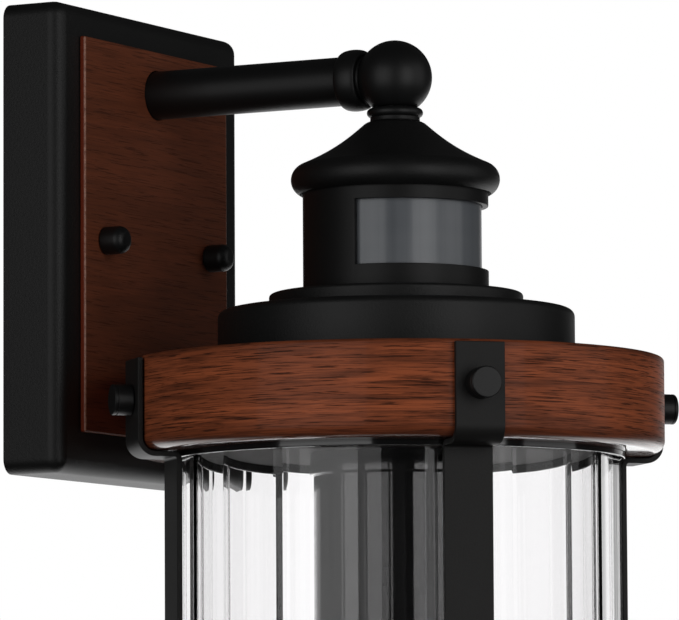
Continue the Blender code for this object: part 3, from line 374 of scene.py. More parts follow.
def turned(name, outline, at=(0, LANTERN_AXIS_Y, 0), turn=(0, 0, 0), steps=96, sweep=2 * pi):
    """A piece turned on a lathe: its outline is drawn point by point, then spun. It stays open
    for more shaping by the caller, so it is placed when it is handed over."""
    bpy.ops.object.select_all(action="DESELECT")
    bpy.ops.mesh.primitive_plane_add(size=0.01)
    piece = shape_new(name)
    bpy.ops.mesh.select_mode(type="VERT")
    bpy.ops.mesh.select_all(action="SELECT")
    bpy.ops.mesh.merge(type="CENTER")
    bpy.ops.transform.translate(value=(outline[0][0], 0, outline[0][1]))
    for (radius, height), (to_radius, to_height) in zip(outline, outline[1:]):
        step = (to_radius - radius, 0, to_height - height)
        bpy.ops.mesh.extrude_vertices_move(TRANSFORM_OT_translate={"value": step})
    bpy.ops.mesh.select_all(action="SELECT")
    bpy.ops.mesh.spin(steps=steps, angle=sweep, center=(0, 0, 0), axis=(0, 0, 1))
    bpy.ops.mesh.select_all(action="SELECT")
    bpy.ops.mesh.remove_doubles(threshold=0.000002)
    bpy.ops.mesh.normals_make_consistent(inside=False)
    piece.location = at
    piece.rotation_euler = turn
    return piece


def closed(outline):
    """An outline that ends where it starts, for a piece with a bore."""
    return outline + outline[:1]


OUTWARD = (pi / 2, 0, 0)
NUT_RADIUS = 0.0047
NUT_RIM = 0.0003
NUT_ROUNDING = 0.0032
NUT_BORE = 0.0024
NUT_BORE_DEPTH = 0.0058

smooth_black = coated("black_satin_enamel", (0.0050, 0.0051, 0.0053), (0.0076, 0.0077, 0.0078),
                      0.44, 2400.0, 0.00003, 0.05, Specular_IOR_Level=0.40)

for side in ("left", "right"):
    low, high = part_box("cap_nut_" + side)
    foot, top = -high.y, -low.y
    outline = [(NUT_BORE, foot), (NUT_RADIUS - NUT_RIM, foot), (NUT_RADIUS, foot + NUT_RIM)]
    outline += curve(NUT_RADIUS - NUT_ROUNDING, top - NUT_ROUNDING, NUT_ROUNDING, 0, 90, 12)
    outline += [(0, top), (0, foot + NUT_BORE_DEPTH), (NUT_BORE, foot + NUT_BORE_DEPTH)]
    nut = turned("round_nut_" + side, closed(outline), ((low.x + high.x) / 2, 0, 0), OUTWARD, 64)
    hand_over(nut, smooth_black, "powder_black", "cap_nut_" + side, body="cap_nut_" + side)


# ---------------------------------------------------------------- wall seal, bracket and studs
# A foam gasket inside the pan's rim, and behind the pan a zinc-plated crossbar with two threaded
# studs and a green earth screw. They are seen only from the wall side.

STUD_PITCH = 0.0008
STUD_THREAD = 0.0003
EARTH_SHANK = 0.0020
EARTH_SEAT = 0.0023                  # from the wall to the underside of the screw's head
EARTH_SLOT = (0.012, 0.0022, 0.0010)

foam, skin, here = new_finish("closed_cell_foam", Specular_IOR_Level=0.2)
cells = here.node("TexVoronoi", {}, {"Vector": here, "Scale": 1400.0})
join(skin, Base_Color=cells.between(0.1, 0.8).mix((0.010, 0.010, 0.010), (0.024, 0.024, 0.025)),
     Roughness=0.82 + cells * 0.1, Normal=cells.relief(0.5, 0.0002))


def dress(material, *names):
    """Gives CAD nodes that keep their shape a finish."""
    for name in names:
        node = nodes[name]
        if not node.data.materials:
            node.data.materials.append(material)
        for slot in node.material_slots:
            slot.material = material


dress(foam, "wall_seal")


def plated(name, dark, light, roughness, grain):
    """Bright plated metal with cloudy, slightly blotched passivation."""
    material, skin, here = new_finish(name, Metallic=1.0)
    blotch = here.noise(160.0, 5.0, 0.7)
    join(skin, Base_Color=blotch.between(0.3, 0.7).mix(dark, light),
         Roughness=roughness + (blotch - 0.5) * 0.25, Normal=here.noise(grain).relief(0.3, 0.00003))
    return material


zinc = plated("zinc_plating", (0.40, 0.40, 0.38), (0.66, 0.66, 0.63), 0.34, 2200.0)
dress(zinc, "mounting_bracket", "stem_pipe", "cap_lock_nut", "plate_nut", "tube_nut")


def half_width(low, high):
    """Half the width of a box, which is a round piece's radius."""
    return (high.x - low.x) / 2


def threaded(start, end, radius, pitch, depth):
    """Outline points of a screw thread's crests and roots, from one height to another."""
    count = int(abs(end - start) / pitch)
    way = pitch if end > start else -pitch
    points = []
    for i in range(count):
        points += [(radius - depth, start + way * (i + 0.1)), (radius, start + way * (i + 0.5))]
    points.append((radius - depth, start + way * (count - 0.02)))
    return points


for side in ("left", "right"):
    low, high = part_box("mounting_stud_" + side)
    outline = [(0, -high.y)]
    outline += threaded(-high.y + 0.0001, -low.y - 0.0004, high.x / 2 - low.x / 2, STUD_PITCH, STUD_THREAD)
    outline += [(0.0013, -low.y), (0, -low.y)]
    stud = turned("threaded_stud_" + side, outline, ((low.x + high.x) / 2, 0, 0), OUTWARD, 32)
    hand_over(stud, zinc, "zinc", "mounting_stud_" + side, angle=50)

earth_green, skin, here = new_finish("green_earth_paint", Metallic=0.6)
fleck = here.noise(900.0)
join(skin, Base_Color=fleck.between(0.3, 0.7).mix((0.012, 0.11, 0.03), (0.03, 0.20, 0.06)),
     Roughness=0.3 + fleck * 0.2)
low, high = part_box("ground_screw")
head, foot = half_width(low, high), -high.y
outline = [(0, foot), (EARTH_SHANK - 0.0002, foot), (EARTH_SHANK, foot + 0.0002), (EARTH_SHANK, EARTH_SEAT),
           (head - 0.0003, EARTH_SEAT), (head, EARTH_SEAT + 0.0003), (head, EARTH_SEAT + 0.0015)]
outline += curve(head - 0.0010, EARTH_SEAT + 0.0015, 0.0010, 0, 90, 6) + [(0, -low.y)]
earth = turned("earth_screw", outline, ((low.x + high.x) / 2, 0, 0), OUTWARD, 48)
settle(earth)
bpy.ops.object.select_all(action="DESELECT")
bpy.ops.mesh.primitive_cube_add(size=1, location=((low.x + high.x) / 2, low.y, 0), scale=EARTH_SLOT)
cut(earth, bpy.context.object)
hand_over(earth, earth_green, "green_screw", "ground_screw")


# ---------------------------------------------------------------- arm with its collar, nut and washer
# A straight steel tube, powder coated, with a threaded end that a washer and a hexagon nut hold
# inside the pan. A turned bead slides over it beside the ball.

ARM_FROM, ARM_TO = 0.0223, 0.1063    # where its full thickness starts and ends, from the wall
ARM_EDGE = 0.0003
ARM_BORE = 0.0035
ARM_THREAD = 0.005
ARM_THREAD_DEPTH = 0.0005
ARM_PITCH = 0.0011

low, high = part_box("arm_tube")
arm_radius = half_width(low, high)
outline = [(ARM_BORE, -high.y)]
outline += threaded(-high.y + 0.0002, ARM_FROM - 0.0006, ARM_THREAD, ARM_PITCH, ARM_THREAD_DEPTH)
outline += [(ARM_THREAD - 0.0001, ARM_FROM), (arm_radius - ARM_EDGE, ARM_FROM),
            (arm_radius, ARM_FROM + ARM_EDGE), (arm_radius, ARM_TO - ARM_EDGE),
            (arm_radius - ARM_EDGE, ARM_TO), (ARM_THREAD, ARM_TO), (ARM_THREAD, -low.y), (ARM_BORE, -low.y)]
arm = turned("arm", closed(outline), (0, 0, ARM_Z), OUTWARD)
hand_over(arm, smooth_black, "powder_black", "arm_tube")

low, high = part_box("arm_collar")
bead_middle = -(low.y + high.y) / 2
hole = arm_radius + 0.0003
swell = half_width(low, high) - hole
outline = [(hole, -high.y)]
for step in range(1, 20):
    lean = radians(-90 + 180 * step / 20)
    outline.append((hole + swell * cos(lean) ** 0.6, bead_middle + (high.y - low.y) / 2 * sin(lean)))
outline.append((hole, -low.y))
collar = turned("arm_bead", closed(outline), (0, 0, ARM_Z), OUTWARD)
hand_over(collar, smooth_black, "powder_black", "arm_collar")

ARM_NUT_BORE = 0.0053

low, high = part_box("arm_lock_nut")
bpy.ops.mesh.primitive_cylinder_add(vertices=6, radius=half_width(low, high), depth=high.y - low.y)
nut = shape_new("arm_hex_nut")
bpy.ops.mesh.select_all(action="SELECT")
bpy.ops.mesh.bevel(offset=0.0006, segments=2, affect="EDGES")
nut.location = (low + high) / 2
nut.rotation_euler = (pi / 2, pi / 6, 0)
settle(nut)
bpy.ops.object.select_all(action="DESELECT")
bpy.ops.mesh.primitive_cylinder_add(vertices=48, radius=ARM_NUT_BORE, depth=0.02, location=(low + high) / 2,
                                    rotation=(pi / 2, 0, 0))
cut(nut, bpy.context.object)
hand_over(nut, zinc, "zinc", "arm_lock_nut")

low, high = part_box("arm_washer")
outer = half_width(low, high)
outline = [(ARM_NUT_BORE, -high.y), (outer - ARM_EDGE, -high.y), (outer, -high.y + ARM_EDGE),
           (outer, -low.y - ARM_EDGE), (outer - ARM_EDGE, -low.y), (ARM_NUT_BORE, -low.y)]
washer = turned("arm_plain_washer", closed(outline), (0, 0, ARM_Z), OUTWARD, 64)
hand_over(washer, zinc, "zinc", "arm_washer")


# ---------------------------------------------------------------- ball and neck ring
# A ball turned from solid metal, with a flat for the arm and one for the neck, and under it a
# turned neck ring: a bead above a narrower cove.

low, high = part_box("ball_hub")
ball_radius = half_width(low, high)
neck_flat = low.z - ARM_Z
start_angle = -69.0
while ball_radius * sin(radians(start_angle)) < neck_flat:
    start_angle += 0.5
outline = [(0, neck_flat), (ball_radius * cos(radians(start_angle)) - 0.0002, neck_flat)]
outline += curve(0, 0, ball_radius, start_angle + 0.8, 89, 40) + [(0, ball_radius)]
ball = turned("ball", outline, (0, LANTERN_AXIS_Y, ARM_Z), steps=128)
settle(ball)
bpy.ops.object.mode_set(mode="EDIT")
bpy.ops.mesh.select_all(action="SELECT")
bpy.ops.mesh.bisect(plane_co=(0, high.y, ARM_Z), plane_no=(0, 1, 0), use_fill=True, clear_outer=True)
hand_over(ball, smooth_black, "powder_black", "ball_hub")

STEM_HOLE = 0.0053
BEAD = 0.0016

low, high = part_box("neck_ring")
neck_reach = half_width(low, high)
waist = neck_reach - 0.0011
outline = [(STEM_HOLE, low.z), (waist + 0.0002, low.z), (waist, low.z + 0.0004),
           (waist, high.z - 2 * BEAD - 0.0002)]
outline += curve(neck_reach - BEAD, high.z - BEAD, BEAD, -75, 90, 14)
outline.append((STEM_HOLE, high.z))
neck = turned("neck_bead", closed(outline))
hand_over(neck, smooth_black, "powder_black", "neck_ring")


# ---------------------------------------------------------------- canopy
# A bell spun from thin steel: a narrow neck that flares to a rounded brim, open underneath, where
# it hides the top of the sensor. Powder coated.

BRIM_RADIUS = 0.0055
BELL_HEIGHT = 0.0247
BELL_NECK = 0.0097
SHEET = 0.0012
STRAIGHTNESS = 0.74

low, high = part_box("canopy")
brim_radius = high.x - BRIM_RADIUS
brim_height = high.z - BELL_HEIGHT + BRIM_RADIUS
outer_lip = curve(brim_radius, brim_height, BRIM_RADIUS, 70, -62, 22)
inner_lip = curve(brim_radius, brim_height, BRIM_RADIUS - SHEET, 70, -62, 22)
spread = outer_lip[0][0] - BELL_NECK
drop = high.z - outer_lip[0][1]
flare = []
for step in range(0, 28):
    t = step / 28
    bend = STRAIGHTNESS * t + (1 - STRAIGHTNESS) * t ** 3
    flare.append((BELL_NECK + spread * bend, high.z - drop * t))
flare[0] = (BELL_NECK - 0.0003, high.z)
inner = [(max(STEM_HOLE, radius - SHEET), height - SHEET) for radius, height in flare[3:]]
outline = [(STEM_HOLE, high.z)] + flare + outer_lip + inner_lip[::-1] + inner[::-1]
outline.append((STEM_HOLE, high.z - SHEET))
bell = turned("bell_canopy", closed(outline), steps=128)
hand_over(bell, powder, "powder_black", "canopy")


# ---------------------------------------------------------------- sensor housing
# A moulded cylinder of black plastic with a satin skin. A window runs round half of it, and its
# lower and upper bands stay whole. A lip round the top stands out over the window.

WINDOW_HALF = radians(88)
WINDOW_TOP = 0.0062                  # below the housing's top
WINDOW_HEIGHT = 0.0216
HOUSING_WALL = 0.002

moulded = coated("black_moulded_plastic", (0.0062, 0.0061, 0.0060), (0.0085, 0.0084, 0.0083),
                 0.46, 3000.0, 0.00002, 0.04, Specular_IOR_Level=0.28)

low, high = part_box("sensor_housing")
outer = half_width(low, high)
inner = outer - HOUSING_WALL
edge = 0.0006
outline = [(STEM_HOLE, high.z - HOUSING_WALL), (inner, high.z - HOUSING_WALL), (inner, low.z),
           (outer - edge, low.z)]
outline += curve(outer - edge, low.z + edge, edge, -75, 0, 4)
outline += curve(outer - edge, high.z - edge, edge, 0, 90, 5) + [(STEM_HOLE, high.z)]
housing = turned("sensor_case", closed(outline), steps=128)
settle(housing)


def part_round(name, inner, outer, foot, top, sweep, steps):
    """A square section swept part of the way round the lantern, with its middle at the front."""
    section = [(inner, foot), (outer, foot), (outer, top), (inner, top)]
    piece = turned(name, closed(section), (0, 0, 0), steps=steps, sweep=sweep)
    pick(piece, "EDGE", lambda item: item.is_boundary)
    bpy.ops.mesh.edge_face_add()
    bpy.ops.mesh.select_all(action="SELECT")
    bpy.ops.mesh.normals_make_consistent(inside=False)
    bpy.ops.object.mode_set(mode="OBJECT")
    heading = sum((Vector(point.co.xy).to_3d() for point in piece.data.vertices), Vector())
    piece.rotation_euler = (0, 0, -pi / 2 - heading.to_2d().angle_signed(Vector((1, 0))))
    piece.location = (0, LANTERN_AXIS_Y, 0)
    settle(piece)
    return piece


window_top = high.z - WINDOW_TOP
cut(housing, part_round("window_cutter", inner - HOUSING_WALL, outer + HOUSING_WALL, window_top - WINDOW_HEIGHT,
                        window_top, 2 * WINDOW_HALF, 64))
use(housing, "BEVEL", width=0.00025, segments=2, limit_method="ANGLE", angle_limit=radians(50))
hand_over(housing, moulded, "powder_black", "sensor_housing")


# ---------------------------------------------------------------- sensor lens
# A curved strip of smoky, milky plastic behind the window, ribbed upright inside so that it acts
# as a row of narrow lenses. It lets little light through and shows blue-grey, with a darker upright
# band painted where it faces the camera: a painted reflection of the dark surroundings near the camera.

LENS_RADIUS = 0.0287
LENS_WALL = 0.0012
LENS_HALF = WINDOW_HALF + 0.002 / LENS_RADIUS
RIB_COUNT = 20
# Where the painted dark reflection stands on the lens, near the side that faces the camera.
DARK_REFLECTION_ANGLE = -1.15                    # its angle in radians from the front

low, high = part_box("sensor_lens")
lens = part_round("lens_strip", LENS_RADIUS - LENS_WALL, LENS_RADIUS, low.z, high.z, 2 * LENS_HALF,
                  RIB_COUNT * 6)

milky, skin, here = new_finish("smoky_lens_plastic", Transmission_Weight=0.12, IOR=1.49,
                               Specular_IOR_Level=0.55, Coat_Weight=0.25, Coat_Roughness=0.12)
x, y, z = here.axes()
round_angle = x.maths("ARCTAN2", x, LANTERN_AXIS_Y - y)
rib = round_angle.maths("PINGPONG", round_angle * (RIB_COUNT / (2 * LENS_HALF)), 0.5)
row = z.maths("PINGPONG", z * 140, 0.5)
haze = here.noise(60.0, 1.0)
body_tone = (rib * 0.16 + haze * 0.7 + row * 0.12).between(0.2, 0.7)
shade = body_tone.mix((0.160, 0.174, 0.192), (0.216, 0.228, 0.246))
# Painted reflection: a darker upright band where the lens faces the camera.
band = round_angle.beside(DARK_REFLECTION_ANGLE).between(0.05, 0.09, 0.28, 0.0)
shade = band.mix(shade, (0.095, 0.105, 0.120))
seam = rib.between(0.0, 0.035, 0.10, 0.0)
join(skin, Base_Color=seam.mix(shade, (0.05, 0.056, 0.066)), Roughness=0.26 + haze * 0.1,
     Normal=rib.relief(0.2, 0.0002))
hand_over(lens, milky, "sensor_lens", "sensor_lens", angle=40)


# ---------------------------------------------------------------- sensor electronics
# A green circuit board on an L-shaped leg, with the motion detector's metal can, a light cell
# and a relay. They sit behind the lens.

board_green, skin, here = new_finish("green_solder_mask", Coat_Weight=0.3)
tracks = here.node("TexVoronoi", {"distance": "MANHATTAN"}, {"Vector": here, "Scale": 420.0}).between(0.45, 0.5)
join(skin, Base_Color=tracks.mix((0.012, 0.085, 0.030), (0.03, 0.17, 0.07)), Roughness=0.35 + tracks * 0.15)
dress(board_green, "sensor_board")
dress(zinc, "pir_detector", "board_bracket")


def plain_plastic(name, shade, light, roughness, grain):
    """Moulded plastic, very slightly mottled."""
    material, skin, here = new_finish(name)
    mottle = here.noise(grain)
    join(skin, Base_Color=mottle.between(0.3, 0.7).mix(shade, light), Roughness=roughness + mottle * 0.1)
    return material


dress(plain_plastic("orange_cell", (0.32, 0.10, 0.02), (0.50, 0.20, 0.05), 0.4, 1500.0), "photocell")
dress(plain_plastic("blue_relay", (0.010, 0.03, 0.13), (0.02, 0.05, 0.20), 0.4, 700.0), "sensor_relay")
dress(plain_plastic("black_sheath", (0.010, 0.010, 0.010), (0.018, 0.018, 0.018), 0.5, 900.0), "supply_lead")


# ---------------------------------------------------------------- flange disc and top cap
# A thick disc with a rounded upper edge carries the sensor. The cap under it is drawn from steel into
# a drum with a soft top edge, and its brim lies sunk in the upper wood ring.

low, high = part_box("flange_disc")
outer = half_width(low, high)
edge = 0.0012
outline = [(STEM_HOLE, low.z), (outer - 0.0004, low.z), (outer, low.z + 0.0004)]
outline += curve(outer - edge, high.z - edge, edge, 0, 90, 6) + [(STEM_HOLE, high.z)]
disc = turned("flange", closed(outline), steps=128)
hand_over(disc, powder, "powder_black", "flange_disc")

DRUM_RADIUS = 0.0595
DRUM_EDGE = 0.0026
low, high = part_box("top_cap")
brim = half_width(low, high)
brim_top = low.z + SHEET
outline = [(STEM_HOLE, high.z)] + curve(DRUM_RADIUS - DRUM_EDGE, high.z - DRUM_EDGE, DRUM_EDGE, 90, 0, 12)
outline += [(DRUM_RADIUS, brim_top + 0.0005), (DRUM_RADIUS + 0.0005, brim_top), (brim, brim_top),
            (brim, low.z), (DRUM_RADIUS - SHEET, low.z)]
outline += curve(DRUM_RADIUS - DRUM_EDGE, high.z - DRUM_EDGE, DRUM_EDGE - SHEET, 0, 90, 12)
outline.append((STEM_HOLE, high.z - SHEET))
cap = turned("drum_cap", closed(outline), steps=160)
hand_over(cap, powder, "powder_black", "top_cap")


# ---------------------------------------------------------------- wood rings
# Two rings of reddish-brown wood with level grain, with painted shade darkening each towards its
# rounding on the glass side, and the upper one also just under the cap's brim. Each has a large
# rounding on the side towards the glass, where its lacquer is thick and the straps turn in.

RING_RADIUS = 0.089
RING_BORE = RING_RADIUS - 0.0129
RING_ROUND = 0.004
RING_CREASE = 0.0012
REBATE = 0.0027

RING_PALE, RING_MIDDLE = (0.560, 0.140, 0.052), (0.400, 0.102, 0.040)
RING_DARK, RING_PORE = (0.095, 0.0280, 0.0140), (0.022, 0.0090, 0.0060)
# The colour of the painted shade on the rings' roundings and under the cap's brim.
RING_PAINTED_SHADE = (0.055, 0.0150, 0.0075)

gloss_wood, skin, here = new_finish("gloss_lacquered_wood", Specular_IOR_Level=0.12, Coat_IOR=1.5,
                                    Coat_Roughness=0.06)
x, y, z = here.axes()
y = y - LANTERN_AXIS_Y
from_axis = (x * x + y * y) ** 0.5
tone, bumps, holes = planks((x, y), z + from_axis, 0.00005, RING_PALE, RING_MIDDLE, RING_DARK, RING_PORE)
upper_foot, upper_top = [corner.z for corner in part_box("upper_ring")]
lower_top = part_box("lower_ring")[1].z
lacquer = z.between(upper_foot + 0.0012, upper_foot + 0.0026, 1.0, 0.0)
lacquer = lacquer * z.between(lower_top - 0.0040, lower_top - 0.0026)
# Painted shade: the wood darkens on the rounding towards the glass and just under the cap's brim.
near_upper = z.between(upper_foot + 0.0030, upper_foot + 0.0075, 1.0, 0.0)
near_upper = near_upper * z.between(upper_foot - 0.01, upper_foot)
near_lower = z.between(lower_top - 0.0075, lower_top - 0.0030)
near_lower = near_lower * z.between(lower_top, lower_top + 0.01, 1.0, 0.0)
edge_shade = near_upper.maths("MAXIMUM", near_upper, near_lower)
edge_shade = edge_shade.maths("MAXIMUM", edge_shade, z.between(upper_top - 0.0035, upper_top - 0.0004) * 0.8)
join(skin, Base_Color=(edge_shade * 0.55).mix(tone, RING_PAINTED_SHADE), Normal=bumps, Roughness=0.40 + holes * 0.3,
     Coat_Weight=0.06 + lacquer * 0.94)


def ring_outline(foot, top, towards_glass, sunk):
    """A ring's section, whose soft rounding is at its foot (-1) or at its top (1)."""
    soft = curve(RING_RADIUS - RING_ROUND, foot + RING_ROUND, RING_ROUND, -90, 0, 12)
    crease = curve(RING_RADIUS - RING_CREASE, top - RING_CREASE, RING_CREASE, 0, 90, 6)
    outline = [(RING_BORE, foot)] + soft + crease
    if sunk:
        floor_height = top - sunk
        outline += [(RING_RADIUS - REBATE, top), (RING_RADIUS - REBATE, floor_height),
                    (RING_BORE, floor_height)]
    else:
        outline.append((RING_BORE, top))
    if towards_glass > 0:
        outline = [(radius, foot + top - height) for radius, height in outline]
    return closed(outline)


for level, towards_glass, sunk in (("upper", -1, 0.0015), ("lower", 1, 0.0)):
    low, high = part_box(level + "_ring")
    ring = turned(level + "_wood_ring", ring_outline(low.z, high.z, towards_glass, sunk), steps=192)
    hand_over(ring, gloss_wood, "wood", level + "_ring")


# ---------------------------------------------------------------- liner and bottom rim
# Steel hoops behind the wood rings, glossy black. The upper one hangs from the cap, and the lower
# one has a ledge that the glass stands on. A lip of each shows beyond the wood.

HOOP = 0.0014
HOOP_RADIUS = RING_BORE - 0.0003
ROLL = 0.0004
LINER_LEDGE = HOOP_RADIUS - 0.013
RIM_LEDGE = 0.0668

gloss_black = coated("black_gloss_enamel", (0.0060, 0.0060, 0.0062), (0.0085, 0.0085, 0.0087), 0.10, 1100.0,
                     0.00001, 0.04, Specular_IOR_Level=0.6, Coat_Weight=0.6, Coat_Roughness=0.04)

low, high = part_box("upper_liner")
outer, inner = HOOP_RADIUS, HOOP_RADIUS - HOOP
outline = curve(outer - ROLL, low.z + ROLL, ROLL, -90, 0, 4)
outline += [(outer, high.z), (LINER_LEDGE, high.z), (LINER_LEDGE, high.z - HOOP), (inner, high.z - HOOP)]
outline += curve(inner + ROLL, low.z + ROLL, ROLL, 180, 270, 4)
liner = turned("upper_hoop", closed(outline), steps=160)
hand_over(liner, gloss_black, "powder_black", "upper_liner")

low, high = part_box("bottom_rim")
outline = [(RIM_LEDGE, low.z)] + curve(outer - ROLL, low.z + ROLL, ROLL, -90, 0, 4)
outline += curve(outer - ROLL, high.z - ROLL, ROLL, 0, 90, 4)
outline += curve(inner + ROLL, high.z - ROLL, ROLL, 90, 180, 4)
outline += [(inner, low.z + SHEET), (RIM_LEDGE, low.z + SHEET)]
rim = turned("bottom_hoop", closed(outline), steps=160)
hand_over(rim, gloss_black, "powder_black", "bottom_rim")


# ---------------------------------------------------------------- straps
# Four flat steel straps, powder coated, screwed to both rings. Each lies flat on a ring, turns in
# under it, and runs close to the glass in between.

STRAP_WIDTH = 0.0165
STRAP_THICKNESS = 0.0018
STRAP_SIDES = (("front_left", -45), ("front_right", 45), ("rear_left", -135), ("rear_right", 135))
STRAP_EDGE = 0.0003

strap_coat = coated("strap_powder_coat", (0.0125, 0.0120, 0.0116), (0.0175, 0.0168, 0.0162),
                    0.48, 1900.0, 0.00006, Specular_IOR_Level=0.22)

low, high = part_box("strap_front_left")
ring_side = RING_RADIUS + 0.0003
glass_side = HOOP_RADIUS + 0.0003
under = upper_foot - 0.0003
outer_bend = RING_ROUND + 0.0003
inner_bend = STRAP_THICKNESS + 0.001
path = [(ring_side, high.z), (ring_side, high.z - 0.012)]
path += curve(ring_side - outer_bend, under + outer_bend, outer_bend, 0, -90, 14)
path += curve(glass_side + inner_bend, under - inner_bend, inner_bend, 90, 180, 10)
half_way = (low.z + high.z) / 2
path += [(radius, 2 * half_way - height) for radius, height in reversed(path)]
for side, turn in STRAP_SIDES:
    bpy.ops.mesh.primitive_plane_add(size=STRAP_WIDTH)
    strap = shape_new("flat_strap_" + side)
    pick(strap, "VERT", lambda point: point.co.y > 0)
    bpy.ops.mesh.delete(type="VERT")
    pick(strap, "EDGE", lambda item: True)
    bpy.ops.transform.translate(value=(0, STRAP_WIDTH / 2 - path[0][0], path[0][1]))
    for (radius, height), (to_radius, to_height) in zip(path, path[1:]):
        step = (0, radius - to_radius, to_height - height)
        bpy.ops.mesh.extrude_edges_move(TRANSFORM_OT_translate={"value": step})
    bpy.ops.mesh.select_all(action="SELECT")
    bpy.ops.mesh.normals_make_consistent(inside=False)
    bpy.ops.object.mode_set(mode="OBJECT")
    outward = sum(face.normal.y for face in strap.data.polygons if abs(face.normal.y) > 0.9)
    use(strap, "SOLIDIFY", thickness=STRAP_THICKNESS, offset=1 if outward < 0 else -1, use_even_offset=True)
    use(strap, "BEVEL", width=STRAP_EDGE, segments=3, limit_method="ANGLE", angle_limit=radians(60))
    strap.location = (0, LANTERN_AXIS_Y, 0)
    strap.rotation_euler = (0, 0, radians(turn))
    hand_over(strap, strap_coat, "powder_black", "strap_" + side)


# ---------------------------------------------------------------- strap screws
# Eight black screws with thick round flat heads. A fine groove runs round each head just under
# its face, and the face's edge is softly rounded.

SCREW_HEAD = 0.0051
SCREW_HEIGHT = 0.0065
SCREW_SHANK = 0.002
GROOVE = 0.0002
EDGE_ROUND = 0.0005

screw_black = coated("screw_black_oxide", (0.0080, 0.0080, 0.0080), (0.0115, 0.0115, 0.0115),
                     0.40, 2600.0, 0.00003, 0.05, Specular_IOR_Level=0.32)

seat = RING_RADIUS + 0.0006 + STRAP_THICKNESS
tip = HOOP_RADIUS - HOOP + 0.0003
top = seat + SCREW_HEIGHT
face = curve(SCREW_HEAD - EDGE_ROUND, top - EDGE_ROUND, EDGE_ROUND, 0, 90, 6)
outline = [(0, tip), (SCREW_SHANK - 0.0003, tip), (SCREW_SHANK, tip + 0.0003), (SCREW_SHANK, seat),
           (SCREW_HEAD - 0.0002, seat), (SCREW_HEAD, seat + 0.0002), (SCREW_HEAD, top - 0.0017),
           (SCREW_HEAD - GROOVE, top - 0.0015), (SCREW_HEAD - GROOVE, top - 0.0013),
           (SCREW_HEAD, top - 0.0011)]
outline += face + [(SCREW_HEAD * 0.72, top), (0, top)]
for side, turn in STRAP_SIDES:
    for level in ("upper", "lower"):
        spot = "%s_%s" % (side, level)
        low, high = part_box("strap_screw_" + spot)
        screw = turned("round_screw_" + spot, outline, (0, LANTERN_AXIS_Y, (low.z + high.z) / 2),
                       (pi / 2, 0, radians(turn)), 48)
        hand_over(screw, screw_black, "powder_black", "strap_screw_" + spot)


# ---------------------------------------------------------------- glass and its seats
# A heavy clear glass, pressed with eighteen upright flats outside and a plain round bore inside,
# whose thickness wanders a little. A thin rubber ring cushions each end.

GLASS_FLATS = 18
GLASS_TURN = radians(-2)
GLASS_RADIUS = 0.0738
GLASS_BORE = GLASS_RADIUS - 0.003
RIDGE = 0.00025

low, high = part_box("glass_cylinder")
glass = turned("faceted_glass", [(0, low.z), (GLASS_RADIUS, low.z), (GLASS_RADIUS, high.z), (0, high.z)],
               turn=(0, 0, GLASS_TURN), steps=GLASS_FLATS)
pick(glass, "EDGE", lambda item: abs(item.verts[0].co.z - item.verts[1].co.z) > 0.01)
bpy.ops.mesh.bevel(offset=RIDGE, segments=4, affect="EDGES")
settle(glass)
bore = turned("bore_cutter", [(0, low.z - 0.01), (GLASS_BORE, low.z - 0.01), (GLASS_BORE, high.z + 0.01),
                              (0, high.z + 0.01)], steps=180)
settle(bore)
cut(glass, bore)

clear, skin, here = new_finish("clear_pressed_glass", Base_Color=(1.0, 0.995, 1.0, 1), IOR=1.5,
                               Transmission_Weight=1.0)
join(skin, Roughness=here.noise(240.0, 3.0).between(0.45, 0.8, 0.0, 0.03),
     Normal=here.noise(26.0, 1.0).relief(0.1, 0.0004))
hand_over(glass, clear, "clear_glass", "glass_cylinder", angle=30)

rubber, skin, here = new_finish("black_rubber", Specular_IOR_Level=0.35)
dust = here.noise(500.0, 4.0)
join(skin, Base_Color=dust.between(0.3, 0.75).mix((0.008, 0.008, 0.008), (0.022, 0.022, 0.021)),
     Roughness=0.6 + dust * 0.25)
for level in ("upper", "lower"):
    low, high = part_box("glass_seal_" + level)
    outer = half_width(low, high)
    outline = [(GLASS_BORE, low.z), (outer - 0.0003, low.z), (outer, low.z + 0.0003),
               (outer, high.z - 0.0003), (outer - 0.0003, high.z), (GLASS_BORE, high.z)]
    hand_over(turned("rubber_ring_" + level, closed(outline)), rubber, "rubber", "glass_seal_" + level)


# ---------------------------------------------------------------- lamp plate and lamp tube
# A hat-shaped plate closes the top of the glass, and a glossy black tube with a thicker band at
# its top hangs from the plate round the lamp holder.

HAT_WALL = 0.0702
HAT_CORNER = 0.0012
TUBE_BAND = 0.0073                   # the height of the thicker band
TUBE_STEP = 0.002                    # how far it stands out

low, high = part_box("lamp_plate")
flange = half_width(low, high)
outline = [(STEM_HOLE, low.z)] + curve(HAT_WALL - HAT_CORNER, low.z + HAT_CORNER, HAT_CORNER, -90, 0, 5)
outline += [(HAT_WALL, high.z - SHEET), (flange, high.z - SHEET), (flange, high.z), (HAT_WALL - SHEET, high.z),
            (HAT_WALL - SHEET, low.z + SHEET), (STEM_HOLE, low.z + SHEET)]
plate = turned("hat_plate", closed(outline), steps=160)
plate_grey = coated("plate_satin_enamel", (0.036, 0.031, 0.030), (0.050, 0.043, 0.041),
                    0.60, 1300.0, 0.00002, 0.06, Specular_IOR_Level=0.06)
hand_over(plate, plate_grey, "powder_black", "lamp_plate")

